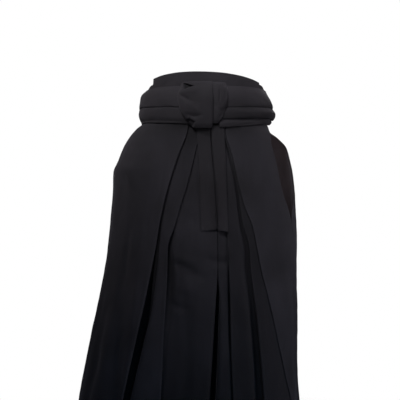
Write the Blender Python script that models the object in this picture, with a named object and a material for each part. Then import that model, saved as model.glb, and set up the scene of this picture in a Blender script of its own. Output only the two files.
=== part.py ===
"""Hakama: pleated, divided trousers in their worn, hollow form, with straps wound and tied at the waist.

Metres, +Z up. The front faces -Y and the wearer's right is -X. The origin is the middle of the
waist opening, level with the seam under the front waistband.

Every cloth panel is a wall swept down a list of levels. At each level the wall follows the outline
of that height, a rounded oval, and folds back under itself at each pleat.
"""

import math

import bpy

# ---------------------------------------------------------------- driving sizes, metres
CLOTH = 0.0011  # wall of the panels
STRAP = 0.0026  # wall of the folded straps and the waistband
KNOT = 0.0040  # wall of the knot, where a strap is doubled
SEAM = 0.0003  # gap between two pieces at a seam
MIDDLE_Y = 0.010  # depth at which the outline is widest
CROTCH_Z = -0.457  # where the two legs part
HEM_Z = -0.940  # front length from the waistband seam to the hem
SEAM_ALLOWANCE = 0.003  # cloth turned in at the centre seams above the crotch, past its rounding
LEG_RETURN = 0.060  # cloth that each panel turns into the inside leg, below the crotch
LEG_RETURN_DROP = 0.060  # height over which that return grows below the crotch

# Outline of the garment at each height: half widths from x = 0, reach forward and back from y = 0,
# and how square the front and back halves of the oval are (2 is an ellipse).
OUTLINE_COLUMNS = ("z", "right", "left", "front", "back", "square_front", "square_back")
OUTLINE = (
    (0.000, 0.1680, 0.1660, 0.1280, 0.1140, 2.2, 3.2),
    (-0.030, 0.1765, 0.1760, 0.1410, 0.1200, 2.2, 3.0),
    (-0.064, 0.1775, 0.1720, 0.1490, 0.1260, 2.2, 2.8),
    (-0.080, 0.1950, 0.1840, 0.1520, 0.1320, 2.2, 2.7),
    (-0.100, 0.2115, 0.2060, 0.1550, 0.1420, 2.3, 2.6),
    (-0.130, 0.2300, 0.2290, 0.1590, 0.1570, 2.3, 2.5),
    (-0.165, 0.2440, 0.2370, 0.1630, 0.1690, 2.4, 2.5),
    (-0.200, 0.2585, 0.2425, 0.1680, 0.1780, 2.4, 2.5),
    (-0.260, 0.2600, 0.2455, 0.1745, 0.1860, 2.4, 2.5),
    (-0.345, 0.2665, 0.2485, 0.1810, 0.1890, 2.5, 2.5),
    (-0.457, 0.2790, 0.2515, 0.1890, 0.1880, 2.5, 2.5),
    (-0.530, 0.2925, 0.2505, 0.1950, 0.1880, 2.6, 2.5),
    (-0.620, 0.3120, 0.2485, 0.2000, 0.1900, 2.7, 2.6),
    (-0.700, 0.3280, 0.2475, 0.2060, 0.1950, 2.7, 2.7),
    (-0.780, 0.3420, 0.2505, 0.2110, 0.2000, 2.8, 2.8),
    (-0.860, 0.3560, 0.2570, 0.2170, 0.2050, 2.9, 2.9),
    (-0.940, 0.3700, 0.2650, 0.2220, 0.2100, 3.0, 3.0),
)

# Place of each pleat's folded edge on the front, as x. The slot is where the legs part: its two
# sides are the centre front seam down to the crotch, and the inside legs below it.
PLEAT_COLUMNS = ("z", "right_outer", "right_inner", "slot_right", "slot_left", "left_inner", "left_middle", "left_outer")
PLEATS = (
    (0.000, -0.0360, -0.0130, 0.0105, 0.0119, 0.0300, 0.0420, 0.0460),
    (-0.064, -0.0440, -0.0170, 0.0110, 0.0124, 0.0325, 0.0450, 0.0490),
    (-0.100, -0.0510, -0.0196, 0.0114, 0.0128, 0.0335, 0.0464, 0.0505),
    (-0.165, -0.0750, -0.0330, 0.0153, 0.0167, 0.0383, 0.0634, 0.0680),
    (-0.240, -0.0988, -0.0520, 0.0202, 0.0216, 0.0455, 0.0800, 0.0840),
    (-0.300, -0.1142, -0.0710, 0.0245, 0.0259, 0.0500, 0.0885, 0.1010),
    (-0.345, -0.1232, -0.0840, 0.0268, 0.0282, 0.0530, 0.0965, 0.1195),
    (-0.400, -0.1322, -0.1020, 0.0276, 0.0290, 0.0560, 0.1110, 0.1305),
    (-0.457, -0.1430, -0.1032, 0.0278, 0.0292, 0.0585, 0.1145, 0.1415),
    (-0.530, -0.1575, -0.1058, 0.0236, 0.0328, 0.0612, 0.1235, 0.1605),
    (-0.620, -0.1780, -0.1115, 0.0180, 0.0303, 0.0630, 0.1340, 0.1815),
    (-0.700, -0.1965, -0.1150, 0.0130, 0.0279, 0.0655, 0.1415, 0.1985),
    (-0.780, -0.2150, -0.1189, 0.0070, 0.0241, 0.0690, 0.1470, 0.2170),
    (-0.860, -0.2345, -0.1230, 0.0000, 0.0200, 0.0735, 0.1540, 0.2318),
    (-0.940, -0.2540, -0.1267, -0.0080, 0.0160, 0.0780, 0.1620, 0.2440),
)

# The side seam, and how far the free edges of the side slit stand forward and back of it above. All
# in degrees round the oval from the widest point of that side, positive towards the front.
SIDE_COLUMNS = ("z", "right", "right_front", "right_back", "left", "left_front", "left_back")
SIDES = (
    (0.000, -4.0, 32.0, 36.0, 25.0, 5.0, 65.0),
    (-0.030, -4.0, 24.0, 29.0, 25.0, 2.0, 58.0),
    (-0.064, -4.0, 16.0, 22.0, 25.0, -6.0, 44.0),
    (-0.100, -4.0, 10.0, 13.0, 25.0, 11.0, 31.0),
    (-0.130, -4.0, 8.0, 10.0, 25.0, 19.0, 27.0),
    (-0.200, -4.0, 6.0, 8.0, 25.0, 17.0, 22.0),
    (-0.260, -4.0, 4.0, 7.0, 25.0, 12.0, 16.0),
    (-0.345, -4.0, 0.0, 0.0, 25.0, 0.0, 0.0),
    (-0.457, -4.0, 0.0, 0.0, 18.0, 0.0, 0.0),
    (-0.620, -4.0, 0.0, 0.0, 10.0, 0.0, 0.0),
    (-0.940, -4.0, 0.0, 0.0, 4.0, 0.0, 0.0),
)

# Each pleat: how far the cloth is tucked under its folded edge, how far apart its layers lie, and how
# deep and wide the valley is that opens beside the folded edge, at the waist and at the hem. They run
# from the side of the leg to its middle.
FRONT_PLEATS_RIGHT = (
    {"edge": "right_outer", "tuck": (0.030, 0.075), "lift": (0.0024, 0.0100), "deep": 0.032, "wide": 0.034, "opens": -0.24},
    {"edge": "right_inner", "tuck": (0.022, 0.060), "lift": (0.0024, 0.0060), "deep": 0.014, "wide": 0.022, "opens": -0.22},
)
FRONT_PLEATS_LEFT = (
    {"edge": "left_outer", "tuck": (0.030, 0.055), "lift": (0.0024, 0.0050), "deep": 0.003, "wide": 0.010, "opens": -0.30},
    {"edge": "left_middle", "tuck": (0.026, 0.050), "lift": (0.0024, 0.0070), "deep": 0.022, "wide": 0.020, "opens": -0.22},
    {"edge": "left_inner", "tuck": (0.018, 0.045), "lift": (0.0024, 0.0040), "deep": 0.004, "wide": 0.008, "opens": -0.30},
)
BACK_PLEAT_EDGE = (0.018, 0.062)  # x of the back pleats' folded edges, at the waist and at the hem
BACK_PLEAT = {"tuck": (0.030, 0.070), "lift": (0.0024, 0.0080), "deep": 0.020, "wide": 0.030, "opens": -0.30}
BACK_SLOT = (0.0007, 0.0120)  # half the gap between the legs at the back, at the crotch and at the hem

# Soft folds that hang between the pleats, as dents in the outline: where they start and end, as x
# and z, how wide and how deep they are at the hem.
SOFT_FOLDS = (
    {"face": "front", "start": (-0.205, -0.28), "end": (-0.245, HEM_Z), "width": 0.020, "depth": 0.012},
    {"face": "front", "start": (0.060, -0.52), "end": (0.120, HEM_Z), "width": 0.022, "depth": 0.006},
    {"face": "back", "start": (-0.150, -0.26), "end": (-0.215, HEM_Z), "width": 0.030, "depth": 0.018},
    {"face": "back", "start": (-0.070, -0.40), "end": (-0.125, HEM_Z), "width": 0.022, "depth": 0.010},
    {"face": "back", "start": (0.120, -0.26), "end": (0.165, HEM_Z), "width": 0.028, "depth": 0.016},
)

# Heights of the rows of each wall.
LEVELS = (
    0.0, -0.030, -0.064, -0.082, -0.104, -0.132, -0.165, -0.205, -0.270, -0.345,
    -0.400, -0.457, -0.500, -0.560, -0.640, -0.730, -0.830, -0.940,
)  # fmt: skip

# ---------------------------------------------------------------- waist
# The wound straps lie round this oval, the rim of the waistband.
RIM = {"right": 0.1635, "left": 0.1635, "front": 0.1255, "back": 0.0980, "square": 2.2}
BAND_ENDS = 30.0  # degrees from the side at which the front waistband ends
STRAP_COLUMNS = ("z_back", "z_side", "z_front", "out_back", "out_side", "out_front")
# Across each strap, top to bottom: its height at the back, side and front of the waist, and how far
# it stands out from the rim there.
WAISTBAND = (
    (0.0360, 0.0360, 0.0600, 0.0000, 0.0000, -0.0005),
    (0.0240, 0.0240, 0.0400, 0.0010, 0.0010, 0.0010),
    (0.0120, 0.0120, 0.0200, 0.0020, 0.0020, 0.0020),
    (SEAM, SEAM, SEAM, 0.0030, 0.0035, 0.0027),
)
BAND_TILT = 0.006  # how much higher the waistband sits at the wearer's right than at its middle
UPPER_TURN = (
    (0.0360, 0.0250, 0.0360, 0.0000, 0.0000, 0.0000),
    (0.0180, 0.0130, 0.0225, 0.0010, 0.0015, 0.0015),
    (0.0010, 0.0010, 0.0010, 0.0010, 0.0030, 0.0030),
)
BACK_STRAP_RIGHT = (
    (0.0440, 0.0265, 0.0215, 0.0275, 0.0036, 0.0072),
    (0.0350, 0.0125, 0.0070, 0.0265, 0.0180, 0.0220),
    (0.0230, -0.0050, -0.0110, 0.0255, 0.0226, 0.0285),
    (0.0120, -0.0180, -0.0300, 0.0245, 0.0235, 0.0290),
    (0.0060, -0.0225, -0.0350, 0.0240, 0.0222, 0.0270),
)
BACK_STRAP_LEFT = (
    (0.0440, 0.0250, 0.0215, 0.0275, 0.0036, 0.0072),
    (0.0350, 0.0125, 0.0070, 0.0265, 0.0105, 0.0220),
    (0.0230, -0.0020, -0.0110, 0.0255, 0.0185, 0.0285),
    (0.0120, -0.0165, -0.0300, 0.0245, 0.0235, 0.0290),
    (0.0060, -0.0225, -0.0350, 0.0240, 0.0225, 0.0270),
)
LOWER_TURN_RIGHT = (
    (-0.0050, -0.0100, -0.0240, 0.0010, 0.0155, 0.0190),
    (-0.0120, -0.0240, -0.0370, 0.0010, 0.0180, 0.0222),
    (-0.0170, -0.0290, -0.0430, 0.0010, 0.0225, 0.0275),
    (-0.0260, -0.0400, -0.0540, 0.0010, 0.0245, 0.0308),
    (-0.0360, -0.0530, -0.0680, 0.0010, 0.0215, 0.0312),
    (-0.0450, -0.0635, -0.0790, 0.0010, 0.0160, 0.0286),
)
LOWER_TURN_LEFT = (
    (-0.0050, -0.0100, -0.0240, 0.0010, 0.0155, 0.0185),
    (-0.0110, -0.0240, -0.0370, 0.0010, 0.0180, 0.0220),
    (-0.0150, -0.0295, -0.0425, 0.0010, 0.0245, 0.0275),
    (-0.0220, -0.0370, -0.0500, 0.0010, 0.0310, 0.0308),
    (-0.0300, -0.0460, -0.0600, 0.0010, 0.0285, 0.0308),
    (-0.0370, -0.0520, -0.0655, 0.0010, 0.0245, 0.0306),
)
CROSSING_TURN = (
    (-0.0420, -0.0480, -0.0640, 0.0010, 0.0165, 0.0255),
    (-0.0470, -0.0540, -0.0700, 0.0010, 0.0175, 0.0275),
    (-0.0520, -0.0590, -0.0785, 0.0010, 0.0200, 0.0325),
    (-0.0580, -0.0640, -0.0880, 0.0010, 0.0170, 0.0325),
)
TUCK_IN = 24.0  # degrees behind the side by which a turn has gone in under the back panel
BOARD_CORNER = (46.0, 39.5)  # degrees behind the side at which the back straps' two edges leave the back board

# Back board: a stiff trapezoid that stands on the back panels' top edge.
BOARD = {"bottom": 0.284, "top": 0.225, "height": 0.092, "thick": 0.006, "lean": 0.006, "corner_drop": 0.05}

# Knot: a strap drawn over the wound turns, from behind their upper edge to behind their lower edge.
# Down its length: how far it stands out from the rim, its height, and its two edges as x.
KNOT_COLUMNS = ("out", "z", "right", "left")
KNOT_WRAP = (
    (0.0130, 0.0265, -0.0560, 0.0130),
    (0.0230, 0.0310, -0.0590, 0.0135),
    (0.0340, 0.0260, -0.0620, 0.0140),
    (0.0400, 0.0130, -0.0660, 0.0142),
    (0.0430, -0.0060, -0.0725, 0.0145),
    (0.0440, -0.0270, -0.0710, 0.0148),
    (0.0440, -0.0480, -0.0640, 0.0148),
    (0.0430, -0.0660, -0.0520, 0.0155),
    (0.0410, -0.0800, -0.0430, 0.0140),
    (0.0370, -0.0910, -0.0325, 0.0090),
)
KNOT_LOOP = (
    (0.0130, 0.0265, 0.0165, 0.0440),
    (0.0220, 0.0300, 0.0165, 0.0470),
    (0.0320, 0.0240, 0.0170, 0.0500),
    (0.0370, 0.0080, 0.0175, 0.0530),
    (0.0385, -0.0150, 0.0180, 0.0525),
    (0.0390, -0.0400, 0.0180, 0.0480),
    (0.0384, -0.0620, 0.0185, 0.0400),
    (0.0370, -0.0780, 0.0190, 0.0320),
)

# Hanging ends of the tied straps: the x of both edges down the length.
TAIL_COLUMNS = ("z", "right", "left")
TAIL_RIGHT = (
    (-0.086, -0.0267, 0.0080),
    (-0.130, -0.0238, 0.0105),
    (-0.200, -0.0187, 0.0170),
    (-0.280, -0.0159, 0.0225),
    (-0.354, -0.0137, 0.0275),
)
TAIL_LEFT = (
    (-0.082, 0.0130, 0.0455),
    (-0.130, 0.0150, 0.0470),
    (-0.200, 0.0218, 0.0490),
    (-0.280, 0.0286, 0.0520),
    (-0.356, 0.0302, 0.0545),
)
TAIL_SLANT = 0.004  # how much lower one corner of a cut end is than the other
TAIL_STEPS = 9
TAIL_OVERLAP = 0.0036  # how far the left end is raised where the right one runs beside and under it
TAIL_LEAVES = (0.0310, 0.0280)  # how far out from the rim the right and left ends leave the knot

BLACK_CLOTH = (0.012, 0.012, 0.014, 1.0)
BLACK_TAPE = (0.016, 0.016, 0.018, 1.0)


# ---------------------------------------------------------------- tables
def slopes(keys, values):
    """Slopes for a curve through the values that never overshoots them."""
    steps = [(v1 - v0) / (k1 - k0) for k0, k1, v0, v1 in zip(keys, keys[1:], values, values[1:])]
    inner = [0.0 if a * b <= 0 else 2 * a * b / (a + b) for a, b in zip(steps, steps[1:])]
    return [steps[0], *inner, steps[-1]]


def smooth(keys, values, at):
    """The value at a key, on a smooth curve through a table whose keys rise."""
    at = min(max(at, keys[0]), keys[-1])
    i = max(j for j in range(len(keys) - 1) if keys[j] <= at or j == 0)
    width = keys[i + 1] - keys[i]
    t = (at - keys[i]) / width
    m = slopes(keys, values)
    rise = values[i + 1] - values[i]
    bend0 = m[i] * width - rise
    bend1 = rise - m[i + 1] * width
    return values[i] + t * rise + t * (1 - t) * ((1 - t) * bend0 + t * bend1)


def look_up(table, columns, z):
    """One row of a table of heights, as a dict, at any height."""
    keys = [-row[0] for row in table]
    return {
        name: smooth(keys, [row[i] for row in table], -z) for i, name in enumerate(columns) if i
    }


def mix(a, b, t):
    return a + (b - a) * t


def ease(t):
    t = min(max(t, 0.0), 1.0)
    return t * t * (3 - 2 * t)


def share_down(z):
    """0 at the waist seam and 1 at the hem, growing a little faster lower down."""
    return (z / HEM_Z) ** 1.3 if z < 0 else 0.0


# ---------------------------------------------------------------- outline
class Oval:
    """A rounded oval at one height, read by side: -1 is the wearer's right, +1 the left.

    A place on it is a distance along it from the widest point of that side, positive towards the
    front, and a depth, inwards.
    """

    STEP = 1.0  # degrees between the points that its length is summed over

    def __init__(self, z, right, left, front, back, square_front, square_back, dents=()):
        self.z = z
        self.half = {-1: right, 1: left}
        self.front, self.back = front + MIDDLE_Y, back - MIDDLE_Y
        self.square = (square_front, square_back)
        self.dents = dents
        self.lengths = {side: self._lengths(side) for side in (-1, 1)}

    def at_angle(self, side, angle):
        """Point and outward normal at degrees round from the widest point of the side."""
        turn = math.radians(angle)
        c, s = math.cos(turn), math.sin(turn)
        power = 2 / self.square[0 if s >= 0 else 1]
        wide = self.half[side if c >= 0 else -side]
        deep = self.front if s >= 0 else self.back
        u, v = abs(c) ** power, abs(s) ** power
        x = side * math.copysign(wide * u, c)
        y = MIDDLE_Y - math.copysign(deep * v, s)
        tilt = 2 / power - 1
        nx, ny = side * math.copysign(u**tilt / wide, c), -math.copysign(v**tilt / deep, s)
        size = math.hypot(nx, ny)
        return (x, y), (nx / size, ny / size)

    def _lengths(self, side):
        """Degrees and the length along the oval to each of them, zero at the widest point."""
        angles = [self.STEP * i for i in range(round(-130 / self.STEP), round(130 / self.STEP) + 1)]
        points = [self.at_angle(side, a)[0] for a in angles]
        run, lengths = 0.0, [0.0]
        for p, q in zip(points, points[1:]):
            run += math.dist(p, q)
            lengths.append(run)
        zero = lengths[angles.index(0.0)]
        return angles, [length - zero for length in lengths]

    def length_at(self, side, angle):
        angles, lengths = self.lengths[side]
        i = min(max(int((angle - angles[0]) // self.STEP), 0), len(angles) - 2)
        return mix(lengths[i], lengths[i + 1], (angle - angles[i]) / self.STEP)

    def angle_at(self, side, length):
        angles, lengths = self.lengths[side]
        low, high = 0, len(lengths) - 1
        while high - low > 1:
            middle = (low + high) // 2
            low, high = (middle, high) if lengths[middle] <= length else (low, middle)
        return mix(angles[low], angles[high], (length - lengths[low]) / (lengths[high] - lengths[low]))

    def length_at_x(self, side, x, face):
        """Length along the oval to an x on its front (face 1) or back (face -1)."""
        out = side * x
        wide = self.half[side if out >= 0 else -side]
        square = self.square[0 if face > 0 else 1]
        angle = math.degrees(math.acos(min(abs(out) / wide, 1.0) ** (square / 2)))
        return self.length_at(side, face * (angle if out >= 0 else 180 - angle))

    def place(self, side, length, depth):
        """The point at a length along the oval, moved inwards by a depth and by the soft folds."""
        (x, y), (nx, ny) = self.at_angle(side, self.angle_at(side, length))
        for face, centre, width, sink in self.dents:
            if (y < MIDDLE_Y) == (face == "front"):
                depth += sink * math.exp(-(((x - centre) / width) ** 2))
        return x - nx * depth, y - ny * depth


def dents_at(z):
    """The soft folds at one height: face, x, width and depth."""
    found = []
    for fold in SOFT_FOLDS:
        (x0, z0), (x1, z1) = fold["start"], fold["end"]
        t = (z - z0) / (z1 - z0)
        if t > 0:
            found.append((fold["face"], mix(x0, x1, t), fold["width"], fold["depth"] * min(t, 1.0) ** 0.7))
    return found


def outline_at(z):
    return Oval(z, **look_up(OUTLINE, OUTLINE_COLUMNS, z), dents=dents_at(z))


# ---------------------------------------------------------------- solids
def offset_line(points, distance):
    """A line in a plane moved sideways by a distance, with its corners mitred."""
    moved = []
    for i, p in enumerate(points):
        before, after = points[max(i - 1, 0)], points[min(i + 1, len(points) - 1)]
        sides = []
        for a, b in ((before, p), (p, after)):
            run = math.dist(a, b)
            if run > 1e-9:
                sides.append(((a[1] - b[1]) / run, (b[0] - a[0]) / run))
        nx, ny = (sum(s[k] for s in sides) / len(sides) for k in (0, 1))
        size = max(math.hypot(nx, ny), 0.5)
        moved.append((p[0] + nx * distance / size**2, p[1] + ny * distance / size**2))
    return moved


def new_object(name, points, faces, colour):
    mesh = bpy.data.meshes.new(name)
    mesh.from_pydata(points, [], faces)
    mesh.validate()
    material = bpy.data.materials.get(colour[0]) or bpy.data.materials.new(colour[0])
    material.use_nodes = True
    shader = material.node_tree.nodes["Principled BSDF"]
    shader.inputs["Base Color"].default_value = colour[1]
    shader.inputs["Roughness"].default_value = 0.9
    shader.inputs["Metallic"].default_value = 0.0
    mesh.materials.append(material)
    obj = bpy.data.objects.new(name, mesh)
    bpy.context.scene.collection.objects.link(obj)
    return obj


def signed_volume(points, triangles):
    total = 0.0
    for i, j, k in triangles:
        (ax, ay, az), (bx, by, bz), (cx, cy, cz) = points[i], points[j], points[k]
        total += ax * (by * cz - bz * cy) - ay * (bx * cz - bz * cx) + az * (bx * cy - by * cx)
    return total / 6


def wall(name, rows, thickness, lift, colour):
    """A closed wall through rows of plane lines, half its thickness to each side of them.

    lift(i, j, point) carries point j of row i from its plane into the garment. Both faces of the
    wall are cut into triangles along the same diagonals, so that the wall keeps its thickness.
    """
    count = len(rows[0])
    points = []
    for i, row in enumerate(rows):
        for distance in (thickness / 2, -thickness / 2):
            points += [lift(i, j, p) for j, p in enumerate(offset_line(row, distance))]

    def vertex(i, face, j):
        return (2 * i + face) * count + j

    triangles = []

    def quad(a, b, c, d):
        triangles.extend(((a, b, c), (a, c, d)))

    for i in range(len(rows) - 1):
        for j in range(count - 1):
            outer = [vertex(i, 0, j), vertex(i, 0, j + 1), vertex(i + 1, 0, j + 1), vertex(i + 1, 0, j)]
            inner = [vertex(i, 1, j), vertex(i, 1, j + 1), vertex(i + 1, 1, j + 1), vertex(i + 1, 1, j)]
            quad(*outer)
            a, b, c, d = inner
            triangles.extend(((a, c, b), (a, d, c)))
        for j, turn in ((0, False), (count - 1, True)):
            end = [vertex(i, 0, j), vertex(i + 1, 0, j), vertex(i + 1, 1, j), vertex(i, 1, j)]
            quad(*(reversed(end) if turn else end))
    for i, turn in ((0, True), (len(rows) - 1, False)):
        for j in range(count - 1):
            end = [vertex(i, 0, j), vertex(i, 0, j + 1), vertex(i, 1, j + 1), vertex(i, 1, j)]
            quad(*(reversed(end) if turn else end))
    if signed_volume(points, triangles) < 0:
        triangles = [(a, c, b) for a, b, c in triangles]
    return new_object(name, points, triangles, colour)


# ---------------------------------------------------------------- panels
def spread(start, end, count):
    """count values from start to end, without the start."""
    return [mix(start, end, (i + 1) / count) for i in range(count)]


def pleat_sizes(pleat, z):
    """Tuck, lift, and the depth and width of the valley beside a pleat's edge, at one height."""
    down = share_down(z)
    opened = ease((pleat["opens"] - z) / (pleat["opens"] - HEM_Z))
    sizes = mix(*pleat["tuck"], down), mix(*pleat["lift"], down)
    return *sizes, pleat["deep"] * opened, max(pleat["wide"] * math.sqrt(opened), 0.002)


def pleated_line(oval, side, face, start, edges, sizes, end, end_depth, counts):
    """A panel's line from the side to the middle of the garment, with its pleats.

    start and end are lengths along the oval; edges are the lengths to the folded edges, and sizes
    the tuck, lift and valley of each. At an edge the cloth turns under, runs back towards the side
    by the tuck, and turns again, so each pleat puts what follows two lifts deeper. Beside the edge
    the cloth that comes out from under it first dips into the valley, then rises out of it.
    """

    def at(run, depth):
        return oval.place(side, face * run, depth)

    line = [at(start, 0.0)]
    depth, here = 0.0, start
    for number, (edge, (tuck, lift, deep, wide)) in enumerate(zip(edges, sizes)):
        back = max(edge - tuck, mix(start, edge, 0.15))
        bend = lift / 2
        if number == 0:
            line += [at(run, depth) for run in spread(here, back, counts[0])]
        if here < back:
            here = back
        line += [at(run, depth) for run in spread(here, edge - bend, 2)]
        line += [
            at(edge - 0.3 * bend, depth + 0.15 * lift),
            at(edge, depth + 0.5 * lift),
            at(edge - 0.3 * bend, depth + 0.85 * lift),
        ]
        line += [at(edge - bend, depth + lift), at(mix(edge, back, 0.5), depth + lift)]
        line += [at(back + bend, depth + lift), at(back, depth + 1.5 * lift)]
        depth += 2 * lift
        line += [at(back + bend, depth), at(mix(edge, back, 0.5), depth + 0.4 * deep)]
        line += [at(edge, depth + 0.92 * deep), at(edge + 0.35 * wide, depth + 0.85 * deep)]
        line += [at(edge + 0.75 * wide, depth + 0.25 * deep), at(edge + wide, depth)]
        here = edge + wide
    steps = counts[-1]
    line += [
        at(run, mix(depth, end_depth, (i + 1) / steps)) for i, run in enumerate(spread(here, end, steps))
    ]
    return line


def turn_in(line, x, side, face, radius, reach):
    """The line's end rounded inwards at x, then run into the garment by reach."""
    y = line[-1][1]
    line = [*line]
    line[-1] = (x + side * radius, y)
    line += [
        (x + side * 0.293 * radius, y + face * 0.293 * radius),
        (x, y + face * radius),
        (x, y + face * mix(radius, reach, 0.5)),
        (x, y + face * reach),
    ]
    return line


def middle_radius(z):
    return mix(0.0030, 0.0100, share_down(z))


def leg_return(z):
    """How far the panels turn into the garment at the middle seams."""
    grown = min(max((CROTCH_Z - z) / LEG_RETURN_DROP, 0.0), 1.0)
    return middle_radius(z) + mix(SEAM_ALLOWANCE, LEG_RETURN, grown)


def back_slot(z):
    """Half the gap between the middle lines of the two legs, at the back."""
    below = max((CROTCH_Z - z) / (CROTCH_Z - HEM_Z), 0.0)
    return mix(*BACK_SLOT, below)


def side_edge(z, side, face):
    """Degrees round the oval to a panel's edge at the side: its seam, or the slit above that."""
    row = look_up(SIDES, SIDE_COLUMNS, z)
    name = "right" if side < 0 else "left"
    return row[name] + face * row[name + ("_front" if face > 0 else "_back")]


def middle_depth(z):
    """Depth at which both front panels meet at the centre."""
    return 2 * sum(pleat_sizes(p, z)[1] for p in FRONT_PLEATS_RIGHT)


def front_line(z, side):
    oval = outline_at(z)
    edge_x = look_up(PLEATS, PLEAT_COLUMNS, z)
    angle = side_edge(z, side, 1)
    pleats, counts = (FRONT_PLEATS_RIGHT, (8, 4)) if side < 0 else (FRONT_PLEATS_LEFT, (4, 2))
    x = edge_x["slot_right" if side < 0 else "slot_left"]
    radius = middle_radius(z)
    line = pleated_line(
        oval,
        side,
        1,
        oval.length_at(side, angle) + SEAM / 2,
        [oval.length_at_x(side, edge_x[p["edge"]], 1) for p in pleats],
        [pleat_sizes(p, z) for p in pleats],
        oval.length_at_x(side, x + side * radius, 1),
        middle_depth(z),
        counts,
    )
    return turn_in(line, x, side, 1, radius, leg_return(z))


def back_line(z, side):
    oval = outline_at(z)
    angle = side_edge(z, side, -1)
    edge = side * mix(*BACK_PLEAT_EDGE, share_down(z))
    x = side * back_slot(z)
    radius = middle_radius(z)
    sizes = pleat_sizes(BACK_PLEAT, z)
    line = pleated_line(
        oval,
        side,
        -1,
        -oval.length_at(side, angle) + SEAM / 2,
        [-oval.length_at_x(side, edge, -1)],
        [sizes],
        -oval.length_at_x(side, x + side * radius, -1),
        2 * sizes[1],
        (9, 2),
    )
    return turn_in(line, x, side, -1, radius, leg_return(z))


def gusset_line(z, side):
    """The inside leg between the front and back panels' returns."""
    front, back = front_line(z, side)[-1], back_line(z, side)[-1]
    steps = 5
    gap = 2 * SEAM
    span = back[1] - front[1] - 2 * gap
    return [
        (mix(front[0], back[0], i / steps), front[1] + gap + span * i / steps) for i in range(steps + 1)
    ]


def panel(name, line_at, side, levels):
    rows = [line_at(z, side) for z in levels]
    return wall(name, rows, CLOTH, lambda i, j, p: (p[0], p[1], levels[i]), ("black cloth", BLACK_CLOTH))


# ---------------------------------------------------------------- waist pieces
RIM_OVAL = Oval(0.0, RIM["right"], RIM["left"], RIM["front"], RIM["back"], RIM["square"], RIM["square"])


def from_rim(side, angle, out, z):
    (x, y), (nx, ny) = RIM_OVAL.at_angle(side, angle)
    return x + nx * out, y + ny * out, z


def onto_rim(x, out, z):
    """The point in front of the rim at an x, standing out from it."""
    low, high = 0.0, 180.0
    while high - low > 1e-6:
        middle = (low + high) / 2
        low, high = (middle, high) if from_rim(-1, middle, out, z)[0] < x else (low, middle)
    return from_rim(-1, low, out, z)


def clear_of_cloth(side, angle, z):
    """How far out from the rim a strap lies if it rests on the front panel at this height."""
    oval = outline_at(min(z - 0.003, 0.0))
    low, high = -0.02, 0.06
    while high - low > 1e-6:
        middle = (low + high) / 2
        x, y, _ = from_rim(side, angle, middle, z)
        wide = oval.half[-1 if x < 0 else 1]
        inside = (abs(x) / wide) ** oval.square[0] + (abs(y - MIDDLE_Y) / oval.front) ** oval.square[0] < 1
        low, high = (middle, high) if inside else (low, middle)
    return low + (CLOTH + STRAP) / 2 + 0.0005


def strap_rows(profile, side, angles, tuck_in, front, power, on_cloth):
    """The lines across a strap, as (out, z), at rows of angles round the waist."""
    rows = []
    for across in angles:
        row = []
        for line, angle in zip(profile, across):
            at = dict(zip(STRAP_COLUMNS, line))
            turn = min(max(angle, 0.0), 180.0)
            forward = math.sin(math.radians(90 * min(turn / front, 1.0) if front < 90 else turn)) ** power
            behind = ease(-angle / tuck_in)
            z = mix(mix(at["z_side"], at["z_front"], forward), at["z_back"], behind)
            out = mix(mix(at["out_side"], at["out_front"], forward), at["out_back"], behind)
            if on_cloth and 0 < angle < 180:
                out = max(out, clear_of_cloth(side, angle, z))
            row.append((out, z))
        rows.append(row)
    return rows


def strap(name, profile, side, start, end, steps, tuck_in=TUCK_IN, front=90.0, power=2.0, tilt=0.0, on_cloth=False):
    """A strap wound round the waist between two angles; start may differ between its two edges."""
    first, last = start if isinstance(start, tuple) else (start, start)
    lines = len(profile) - 1
    starts = [mix(first, last, j / lines) for j in range(lines + 1)]
    angles = [[mix(a, end, i / steps) for a in starts] for i in range(steps + 1)]
    rows = strap_rows(profile, side, angles, tuck_in, front, power, on_cloth)

    def lift(i, j, p):
        x, y, z = from_rim(side, angles[i][j], *p)
        return x, y, z - tilt * (1 - j / lines) * x / RIM["right"]

    return wall(name, rows, STRAP, lift, ("black tape", BLACK_TAPE))


def rim_angle(side, x, face=1):
    """Degrees round the rim to an x on its front or back."""
    return RIM_OVAL.angle_at(side, RIM_OVAL.length_at_x(side, x, face))


def back_board():
    """A stiff plate over the small of the back, on the line of the back panels' top edge."""
    oval = outline_at(0.0)
    heights = 4
    across = 14
    rows = []
    for i in range(heights + 1):
        t = i / heights
        half = mix(BOARD["bottom"], BOARD["top"], t) / 2
        row = []
        for j in range(across + 1):
            x = mix(-half, half, j / across)
            side = -1 if x < 0 else 1
            row.append(oval.place(side, oval.length_at_x(side, x, -1), 0.0))
        rows.append([(x, y + BOARD["lean"] * t) for x, y in row])

    def lift(i, j, p):
        corner = (2 * j / across - 1) ** 4
        return p[0], p[1], SEAM + BOARD["height"] * (1 - BOARD["corner_drop"] * corner) * i / heights

    return wall("back_board", rows, BOARD["thick"], lift, ("black cloth", BLACK_CLOTH))


def knot_piece(name, table, across):
    """A doubled strap drawn down over the wound turns, as rows across its width."""
    rows, edges = [], []
    for i in range(across + 1):
        t = i / across
        crown = 1 - 0.06 * (2 * t - 1) ** 2
        rows.append([(out * crown, z) for out, z, _, _ in table])
        edges.append([mix(right, left, t) for _, _, right, left in table])

    def lift(i, j, p):
        return onto_rim(edges[i][j], *p)

    return wall(name, rows, KNOT, lift, ("black tape", BLACK_TAPE))


def depth_on(pleats, z):
    """Depth of a strap that rests on the cloth left by these pleats."""
    layers = 2 * sum(pleat_sizes(p, z)[1] for p in pleats)
    return layers - (CLOTH + STRAP) / 2 - 0.0012


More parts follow.
